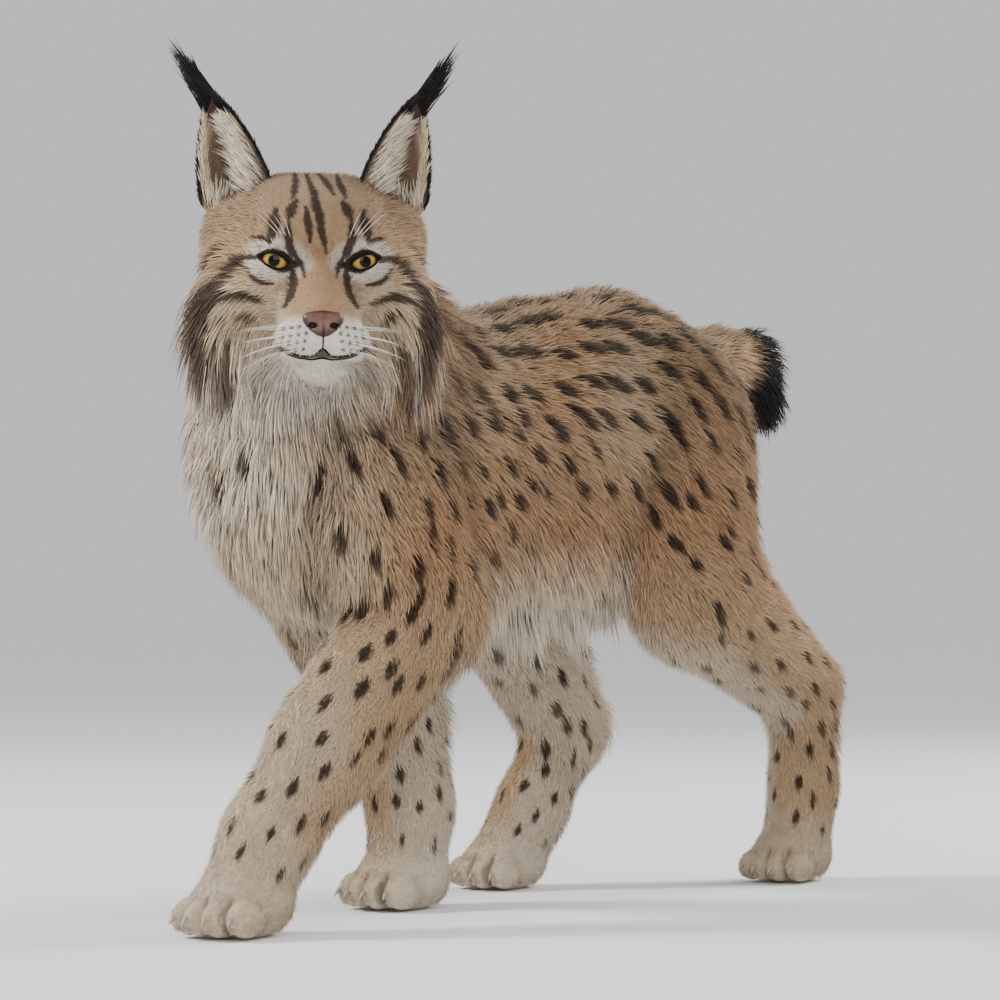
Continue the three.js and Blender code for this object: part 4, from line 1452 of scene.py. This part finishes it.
def ear_colour(side, a, v, back):
    """Black edges and tip; a grey patch on the back; pale within, with painted shade in the hollow."""
    if back:
        ear = Layers("black", len(v))
        ear.lay("grey", ramp(np.hypot(a / 0.5, (v - 0.38) / 0.24), 1.15, 0.7), 1.15)
        ear.lay("face", ramp(v, 0.2, 0.02), 0.8)
        return ear.colour
    ear = Layers("cream", len(v))
    # Painted shade: a dark colour in the hollow of the ear.
    ear.lay("spot", ramp(np.hypot((a * side - 0.42) / 0.42, (v - 0.38) / 0.5), 1.2, 0.5) * 0.85)
    ear.lay("black", ramp(v, 0.7, 0.86))
    ear.lay("face", ramp(v, 0.07, -0.03))
    ear.lay("black", ramp(np.abs(a), 0.8, 0.97) * ramp(v, 0.02, 0.2))
    return ear.colour


def make_ear(name, side):
    bpy.ops.mesh.primitive_grid_add(x_subdivisions=26, y_subdivisions=34, size=2)
    ear = added(f"ear_skin_{name}")
    grid = vertices_of(ear)
    a, v = grid[:, 0], (grid[:, 1] + 1) / 2 * 1.1 - 0.1
    move_vertices(ear, to_metres(ear_points(side, a, v, np.zeros(len(a)))))
    smooth_and_outward(ear)
    apply_modifier(ear, "SOLIDIFY", thickness=0.003, offset=0.0)
    apply_modifier(ear, "SUBSURF", levels=1, render_levels=1)
    base, axis, opening, across = ear_axes(side)
    local = to_head(from_metres(vertices_of(ear))) - base
    v = local @ axis / EAR_LENGTH
    a = np.clip(local @ across / ear_half(v), -1, 1)
    v = np.clip(v, -0.1, 1)
    behind = (vertex_normals(ear) @ head_direction(opening) < 0)[:, None]
    inner = mix(ear_colour(side, a, v, False), PALETTE["flesh"], 0.2)
    paint(ear, np.where(behind, ear_colour(side, a, v, True), inner))
    return ear


# Numbers of tufts on the parts of an ear.
BACK_TUFTS = 4400
CUP_TUFTS = 3200
SILVER_TUFTS = 560
FRONT_TUFTS = 300
FOOT_TUFTS = 130
RIM_TUFTS = 900
BRUSH_TUFTS = 420


def make_ear_coat(name, side):
    rng = np.random.default_rng(40 + side)
    base, axis, opening, across = (head_direction(d) for d in ear_axes(side))
    inward = across * -side
    sets = []

    def lay(a, v, depth, normal, lie, length, colour, row, rise=0.3, width=1.4, jitter=0.12, rings=1,
            droop=-0.12):
        """A set of tufts at places a, v; row says which half of the bake map they take."""
        count = len(a)
        sets.append({
            "root": ear_points(side, a, v, np.full(count, depth)),
            "normal": np.broadcast_to(normal, (count, 3)),
            "lie": unit(lie + rng.normal(0, jitter, (count, 3))),
            "length": length * rng.uniform(0.75, 1.2, count),
            "rise": np.full(count, rise),
            "width": width * rng.uniform(0.8, 1.2, count),
            "droop": np.full(count, droop),
            "bend": np.zeros(count),
            "colour": colour * rng.uniform(0.85, 1.12, count)[:, None],
            "rings": np.full(count, rings),
            "place": np.stack([0.02 + 0.46 * (a * 0.5 + 0.5) + 0.5 * row, 0.02 + 0.9 * np.clip(v, 0, 1)], 1),
        })

    count = BACK_TUFTS
    a, v = rng.uniform(-1, 1, count), rng.random(count) ** 1.2 * 0.98
    lay(a, v, -1.5, -opening, axis - across * (a * 0.15)[:, None], mix(11, 8, v),
        ear_colour(side, a, v, True), 0, width=1.7)
    # The tufts of the cup take the ear's colours, the painted shade of the hollow with them.
    count = CUP_TUFTS
    a, v = rng.uniform(-0.97, 0.97, count), rng.random(count) * 0.95
    lay(a, v, 1.5, opening, axis - across * (a * 0.3)[:, None], np.full(count, 8.0),
        ear_colour(side, a, v, False), 1, width=1.3)
    count = SILVER_TUFTS
    a, v = -side * rng.uniform(0.3, 0.92, count), rng.random(count) * 0.72
    sweep = -inward * rng.uniform(0.35, 0.95, count)[:, None]
    silver = mix(PALETTE["white"], PALETTE["cream"], rng.random(count)[:, None] * 0.9)
    lay(a, v, 1.0, opening, axis + sweep + opening * 0.3, 40 * (1 - 0.5 * v), silver, 1, width=1.25, rings=3)
    count = FRONT_TUFTS
    a, v = side * rng.uniform(0.74, 0.9, count), rng.random(count) * 0.76 + 0.04
    lay(a, v, 1.0, opening, axis + inward * 0.22 + opening * 0.16, 24 * (1 - 0.4 * v),
        Layers("cream", count).colour, 1, rings=2)
    count = FOOT_TUFTS
    a, v = side * rng.uniform(0.3, 0.95, count), rng.random(count) * 0.12
    lay(a, v, 1.0, opening, axis + inward * 0.5 + opening * 0.3, rng.uniform(14, 34, count),
        silver[:count], 1, width=1.3, rings=3)
    count = RIM_TUFTS
    a = np.where(rng.random(count) < 0.5, -1.0, 1.0) * rng.uniform(0.95, 1.02, count)
    v = rng.random(count) * 0.9 + 0.1
    lay(a, v, 0.5, opening, axis + opening * 0.12 + across * (a * 0.08)[:, None], np.full(count, 9.0),
        Layers("black", count).colour, 1, width=1.5)
    count = BRUSH_TUFTS
    a, v = rng.uniform(-0.9, 0.9, count), 0.84 + 0.15 * rng.random(count)
    lean = head_direction((side * 0.46, 0, 0))
    prong = rng.choice([-1.0, 0.0, 1.0], count)
    reach = (EAR_TUFT + 18) * rng.uniform(0.6, 1.0, count) * mix(0.8, 1, v) * (1 - 0.22 * np.abs(prong))
    prong = across * (0.13 * prong - 0.16 * a)[:, None]
    lay(a, v, 0.0, -opening, axis + lean + prong, reach, Layers("black", count).colour, 0, rise=0.02,
        width=1.7, jitter=0.035, rings=3, droop=0.06)
    merged = {key: np.concatenate([part[key] for part in sets]) for key in sets[0]}
    return tuft_mesh(f"coat_ear_{name}", merged)


# Eyes, nose, mouth, whiskers and claws.

RING_RADIUS = 0.1


def make_eye(name, side):
    """The eyeball, a little fuller in front where the cornea is."""
    centre, looking, across, upright = eye_frame(side)
    bpy.ops.mesh.primitive_uv_sphere_add(segments=48, ring_count=32, radius=1, location=(0, 0, 0))
    eye = added(f"eyeball_{name}")
    round_points = vertices_of(eye)
    cornea = ramp(round_points[:, 2], 0.72, 1.0)
    local = (round_points * (EYE_RADIUS - 0.6 + 0.9 * cornea)[:, None]) @ np.array([across, upright, looking])
    move_vertices(eye, to_metres(from_head(centre + local)))
    smooth_and_outward(eye)
    finish_eye(f"eye_{name}", from_head(centre), head_direction(looking)).give(eye, "eye")
    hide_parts(f"eye_{name}")
    return eye


def make_lids(name, side):
    """The rims of both lids: a ring drawn out to the almond of the eye, thicker above."""
    centre, looking, across, upright = eye_frame(side)
    bpy.ops.mesh.primitive_torus_add(major_segments=72, minor_segments=12, major_radius=1.0,
                                     minor_radius=RING_RADIUS)
    lids = added(f"lids_{name}")
    ring = vertices_of(lids)
    angle = np.arctan2(ring[:, 1], ring[:, 0])
    out = (np.hypot(ring[:, 0], ring[:, 1]) - 1) / RING_RADIUS
    lift = ring[:, 2] / RING_RADIUS
    a = EYE_HALF * np.cos(angle) * 1.02
    upper, lower = almond_edges(a)
    above = np.sin(angle) > 0
    thick = np.where(above, 1.9, 1.4) * (0.7 + 0.3 * np.abs(np.sin(angle)))
    outside = unit(np.stack([np.cos(angle) * 0.7, np.where(above, 1, -1) * np.abs(np.sin(angle)) + 1e-6], 1))
    a = a + outside[:, 0] * (out * thick + 0.6)
    u = np.where(above, upper, lower) + outside[:, 1] * (out * thick + 0.6)
    front = np.sqrt(np.maximum((EYE_RADIUS + 1.2 + lift * 1.9) ** 2 - a ** 2 - u ** 2, 9))
    local = centre + a[:, None] * across + u[:, None] * upright + front[:, None] * looking
    move_vertices(lids, to_metres(from_head(local)))
    smooth_and_outward(lids)
    return lids


def make_nose():
    """The leather: wider above, with comma shaped nostrils and a groove down the middle."""
    bpy.ops.mesh.primitive_uv_sphere_add(segments=96, ring_count=64, radius=1, location=(0, 0, 0))
    nose = added("nose_leather")
    x, y, z = vertices_of(nose).T
    wide, deep, tall = LEATHER_HALF
    top = 1 + 0.34 * z + 0.1 * ramp(z, 0.2, 0.9)
    local = np.stack([x * wide * top, y * deep + 1.8 * z, z * tall], 1)
    front = ramp(y, -0.1, -0.6)
    ax, up = np.abs(local[:, 0]) / 1.12, local[:, 2] / 1.12
    stroke = np.hypot((ax - 8.6 - 0.25 * np.maximum(up + 2, 0)) / 3.4, (up + 1.8) / 2.4)
    slit = np.hypot((ax - 12.4) / 3.6, (up + 3.4 - (ax - 12.4) * 0.3) / 1.3)
    hole = np.maximum(ramp(stroke, 1.25, 0.5), ramp(slit, 1.2, 0.5) * 0.5) * front
    groove = ramp(ax, 1.6, 0.2) * ramp(up, 4, -6) * front
    local[:, 1] += hole * 7.5 + groove * 1.8
    move_vertices(nose, to_metres(from_head(local + LEATHER)))
    select_only(nose)
    bpy.ops.object.shade_smooth()
    # The leather is darker round its rim; in the nostrils and the groove the dark is painted shade for their
    # depth.
    rim = ramp(np.abs(x), 0.55, 0.9) * 0.9 + ramp(z, 0.5, 0.9) * 0.8 + ramp(z, -0.3, -0.85) * 0.9
    edge = np.clip(hole * 1.4 + groove * 0.7 + rim, 0, 1)
    paint(nose, np.repeat(edge[:, None], 3, 1), "edge")
    finish_leather().give(nose, "nose_leather")
    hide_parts("nose")
    return nose


def tubes(name, paths, radii, sides=6):
    """Tapered tubes along paths with equal numbers of points, closed at both ends."""
    paths = np.asarray(paths, float)
    count, length = paths.shape[:2]
    tangents = unit(np.gradient(paths, axis=1))
    first = unit(np.cross(tangents, np.array([0.31, 0.22, 0.92])))
    second = np.cross(tangents, first)
    angles = np.arange(sides) * 2 * math.pi / sides
    ring = (first[:, :, None, :] * np.cos(angles)[None, None, :, None]
            + second[:, :, None, :] * np.sin(angles)[None, None, :, None])
    shell = paths[:, :, None, :] + ring * np.asarray(radii)[None, :, None, None]
    vertices = np.concatenate([shell.reshape(count, -1, 3), paths[:, [0, -1], :]], 1)
    start = length * sides
    faces = [*walls(length, sides), *fan(start - sides, sides, start + 1)]
    faces += [(i, (i + 1) % sides, start) for i in range(sides)]
    corners = vertices.shape[1]
    piece = mesh_piece(name, to_metres(vertices.reshape(-1, 3)), for_each(faces, count, corners))
    smooth_and_outward(piece)
    return piece


def to_face(places, inward):
    """Moves places in the frame of the head inward to the skin under the coat, step by step."""
    for _ in range(60):
        coat = habit(from_head(places))
        places = places + inward * (0.6 * (coat["distance"] + coat["depth"]))[:, None]
    return places


def on_face(x, z):
    """Places on the skin of the face, straight behind points seen from the front."""
    return to_face(np.stack([x, np.full(len(x), -170.0), z], 1), np.array([0.0, 1.0, 0.0]))


MOUTH_POINTS = np.linspace(-1, 1, 61)


def along_mouth(width, drop, bow=MOUTH_BOW):
    """Places on the skin along the mouth, from one corner to the other round the muzzle."""
    angle = np.radians(width * MOUTH_POINTS)
    inward = np.stack([-np.sin(angle), np.cos(angle), 0 * angle], 1)
    z = np.full(len(angle), -76.0)
    for _ in range(4):
        places = to_face(np.array([0, MUZZLE_MIDDLE, 0]) - inward * 90 + z[:, None] * (0, 0, 1), inward)
        z = mouth_height(places[:, 0], places[:, 1], bow) - drop
    return places


def make_lips():
    """The line of the mouth, the edge of the lower lip and the groove up to the nose."""
    radii = 1.0 * (1 - np.abs(MOUTH_POINTS) ** 4 * 0.8)
    fuller = 0.45 + 0.6 * np.cos(MOUTH_POINTS * math.pi / 2)
    upper = from_head(along_mouth(MOUTH_REACH, 0.0))
    under = from_head(along_mouth(MOUTH_REACH * 0.55, 2.6, 0.0))
    heights = np.linspace(LEATHER[2] - 9, float(mouth_height(0.0, -120.0)), 15)
    groove = from_head(on_face(np.zeros(15), heights))
    return [tubes("lip_line", [upper], radii, 8), tubes("lower_lip", [under], radii * fuller, 8),
            tubes("lip_groove", [groove], np.full(15, 0.8), 6)]


def make_whiskers():
    """Rows of bent whiskers on the pads, and a few over each eye."""
    rng = np.random.default_rng(8)
    spots, starts, bends = [], [], []
    for side in SIDES.values():
        for row in range(WHISKER_ROWS):
            for place in range(4 if row == WHISKER_ROWS - 1 else 5):
                x = 16 + place * 6.6 + row * 1.2
                spots.append((side * min(x, 40.0), WHISKER_TOP - row * 7.2 - place * 1.1))
                length = rng.uniform(38, 52) * (0.8 + 0.05 * place)
                starts.append(unit(np.array([side * 0.85, 0.02 + 0.1 * place, 0.1 - 0.12 * row])) * length)
                bends.append(np.array([side * 0.05, 0.25, -0.5]) * rng.uniform(0.7, 1.2) * length * 0.35)
        for i in range(4):
            spots.append((side * (28 + 4 * i), 32.0 + i))
            length = rng.uniform(26, 36)
            starts.append(unit(np.array([side * (0.3 + 0.2 * i), -0.5, 1.0])) * length)
            bends.append(np.array([side * 0.12, 0.24, 0]) * length)
    roots = on_face(*np.array(spots).T)
    s = np.linspace(0, 1, 9)[None, :, None]
    paths = roots[:, None] + np.array(starts)[:, None] * s + np.array(bends)[:, None] * s * s
    return tubes("whiskers", from_head(paths), 0.36 * (1 - np.linspace(0, 0.93, 9)), 5)


def make_claws():
    paths = []
    s = np.linspace(0, 1, 7)[:, None]
    for name in LEGS:
        scale, turn, place = paw_frame(name)
        for out, middle in toe_middles():
            root = middle + (out, -25, 0)
            path = root + s * np.array([out * 1.2, -6.5, 0]) + s * s * np.array([0, 0, -6.5])
            paths.append((path * scale) @ turn.T + place)
    return tubes("claws", paths, 2.5 * (1 - np.linspace(0, 0.92, 7) ** 1.4), 8)


# The stage.

def make_floor():
    bpy.ops.mesh.primitive_plane_add(size=60, location=(0, 10, 0))
    floor = added("studio_floor")
    select_only(floor)
    bpy.ops.object.transform_apply(location=True, rotation=True, scale=True)
    finish = Finish("pale_floor", roughness=0.9, specular_ior_level=0.0)
    far = finish.node("ShaderNodeVectorMath", {"operation": "LENGTH"}, {0: finish.place()}, output="Value")
    finish.feed("Base Color", finish.tint((0.8, 0.8, 0.8, 1), far.band(1.5, 9.0), (1, 1, 1, 1)))
    floor.data.materials.append(finish.material)
    return floor


def soft_light(name, place, target, size, power):
    bpy.ops.object.light_add(type="AREA", location=place)
    light = added(name)
    light.data.shape = "RECTANGLE"
    light.data.size, light.data.size_y = size
    light.data.energy = power
    aim = Vector(target) - Vector(place)
    light.rotation_euler = aim.to_track_quat("-Z", "Y").to_euler()
    return light


CAMERA_TURN = math.radians(38)
CAMERA_DISTANCE = 3.6
CAMERA_HEIGHT = 0.2995
FOCAL_PIXELS = 3381.0
HORIZON_ROW = 620.0
IMAGE = 1000.0
SENSOR = 36.0


def make_camera():
    ahead = Vector((-math.sin(CAMERA_TURN), math.cos(CAMERA_TURN), 0))
    place = -ahead * CAMERA_DISTANCE + Vector(SHIFT * MM)
    place.z = CAMERA_HEIGHT
    bpy.ops.object.camera_add(location=place)
    camera = added("camera")
    camera.data.sensor_width = SENSOR
    camera.data.lens = FOCAL_PIXELS / IMAGE * SENSOR
    rise = math.atan((HORIZON_ROW - IMAGE / 2) / FOCAL_PIXELS)
    aim = ahead * math.cos(rise) + Vector((0, 0, math.sin(rise)))
    camera.rotation_euler = aim.to_track_quat("-Z", "Y").to_euler()
    camera.data.clip_end = 200
    bpy.context.scene.camera = camera


# The add-on.

class LynxSettings(bpy.types.PropertyGroup):
    skin_detail: bpy.props.FloatProperty(
        name="Skin detail", description="Size of the faces of the skin", default=0.0056, min=0.003,
        unit="LENGTH")
    coat_thickness: bpy.props.FloatProperty(
        name="Coat thickness", description="Share of the full number of tufts", default=1.0, min=0.05,
        subtype="FACTOR")
    key_power: bpy.props.FloatProperty(
        name="Key light", description="Power of the main soft light", default=300.0, unit="POWER")
    sky: bpy.props.FloatProperty(
        name="Sky", description="Strength of the even light all round", default=0.7)


def settings():
    return bpy.context.scene.lynx


class LYNX_OT_skin(bpy.types.Operator):
    """Makes the skin under the coat in one piece"""
    bl_idname = "lynx.skin"
    bl_label = "Skin"

    def execute(self, context):
        skin = make_skin(settings().skin_detail)
        finish_skin().give(skin, "coat")
        flesh = ["torso", "neck", "tail", "head"]
        for limb in SIDES:
            flesh += [f"{part}_{limb}" for part in ("foreleg", "forepaw", "thigh", "shank", "hindpaw")]
        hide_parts(*flesh)
        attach(skin, BODY)
        return {"FINISHED"}


class LYNX_OT_coat(bpy.types.Operator):
    """Lays the tufts of the coat on the skin"""
    bl_idname = "lynx.coat"
    bl_label = "Coat"

    def execute(self, context):
        finish = finish_coat()
        for piece in make_coat(bpy.data.objects["skin"], settings().coat_thickness):
            finish.give(piece, "coat")
            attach(piece, BODY)
        return {"FINISHED"}


class LYNX_OT_ears(bpy.types.Operator):
    """Makes the cups of the ears, their fur and their tufts"""
    bl_idname = "lynx.ears"
    bl_label = "Ears"

    def execute(self, context):
        skin_finish, coat_finish = finish_skin(), finish_coat()
        for name, side in SIDES.items():
            ear = make_ear(name, side)
            skin_finish.give(ear, "ear_coat")
            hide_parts(f"ear_{name}")
            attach(ear, BODY)
            fur = make_ear_coat(name, side)
            coat_finish.give(fur, "ear_coat")
            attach(fur, BODY)
        return {"FINISHED"}


class LYNX_OT_eyes(bpy.types.Operator):
    """Makes the eyeballs and the rims of the lids"""
    bl_idname = "lynx.eyes"
    bl_label = "Eyes"

    def execute(self, context):
        rim = finish_plain("eye_rim", linear(14, 10, 9), 0.75, specular_ior_level=0.15)
        for name, side in SIDES.items():
            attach(make_eye(name, side), BODY)
            lids = make_lids(name, side)
            rim.give(lids, "coat")
            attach(lids, BODY)
        return {"FINISHED"}


class LYNX_OT_muzzle(bpy.types.Operator):
    """Makes the nose leather, the lips and the whiskers"""
    bl_idname = "lynx.muzzle"
    bl_label = "Muzzle"

    def execute(self, context):
        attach(make_nose(), BODY)
        lip = finish_plain("lip", linear(16, 11, 10), 0.8, specular_ior_level=0.15)
        for piece in make_lips():
            lip.give(piece, "nose_leather")
            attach(piece, BODY)
        whiskers = make_whiskers()
        finish_plain("whisker", linear(240, 236, 228), 0.4).give(whiskers, "coat")
        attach(whiskers, BODY)
        return {"FINISHED"}


class LYNX_OT_claws(bpy.types.Operator):
    """Makes the claws"""
    bl_idname = "lynx.claws"
    bl_label = "Claws"

    def execute(self, context):
        claws = make_claws()
        finish_plain("claw_horn", linear(176, 160, 140), 0.35).give(claws, "nose_leather")
        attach(claws, BODY)
        return {"FINISHED"}


class LYNX_OT_stage(bpy.types.Operator):
    """Sets the floor, the lights and the camera"""
    bl_idname = "lynx.stage"
    bl_label = "Stage"

    def execute(self, context):
        make_floor()
        power = settings().key_power
        target = (0, 0, 0.45)
        soft_light("key", (-3.3, -2.9, 3.3), target, (1.2, 1.2), power)
        soft_light("fill", (2.6, -3.4, 1.7), target, (2.6, 2.2), power * 0.3)
        soft_light("back", (1.2, 3.6, 2.8), target, (2.6, 1.6), power * 0.6)
        world = bpy.data.worlds.new("studio")
        bpy.context.scene.world = world
        world.use_nodes = True
        sky = world.node_tree.nodes["Background"]
        sky.inputs["Color"].default_value = (1, 1, 1, 1)
        sky.inputs["Strength"].default_value = settings().sky
        make_camera()
        return {"FINISHED"}


OPERATORS = [LYNX_OT_skin, LYNX_OT_coat, LYNX_OT_ears, LYNX_OT_eyes, LYNX_OT_muzzle, LYNX_OT_claws,
             LYNX_OT_stage]


class LYNX_PT_panel(bpy.types.Panel):
    """Lists the pieces of the lynx"""
    bl_idname = "LYNX_PT_panel"
    bl_label = "Lynx"
    bl_space_type = "VIEW_3D"
    bl_region_type = "UI"
    bl_category = "Lynx"

    def draw(self, context):
        for key in LynxSettings.__annotations__:
            self.layout.prop(context.scene.lynx, key)
        for operator in OPERATORS:
            self.layout.operator(operator.bl_idname)


CLASSES = [LynxSettings, *OPERATORS, LYNX_PT_panel]


def register():
    for made in CLASSES:
        bpy.utils.register_class(made)
    bpy.types.Scene.lynx = bpy.props.PointerProperty(type=LynxSettings)


def unregister():
    del bpy.types.Scene.lynx
    for made in reversed(CLASSES):
        bpy.utils.unregister_class(made)


def main():
    register()
    for operator in OPERATORS:
        group, name = operator.bl_idname.split(".")
        getattr(getattr(bpy.ops, group), name)()


if __name__ == "__main__":
    main()
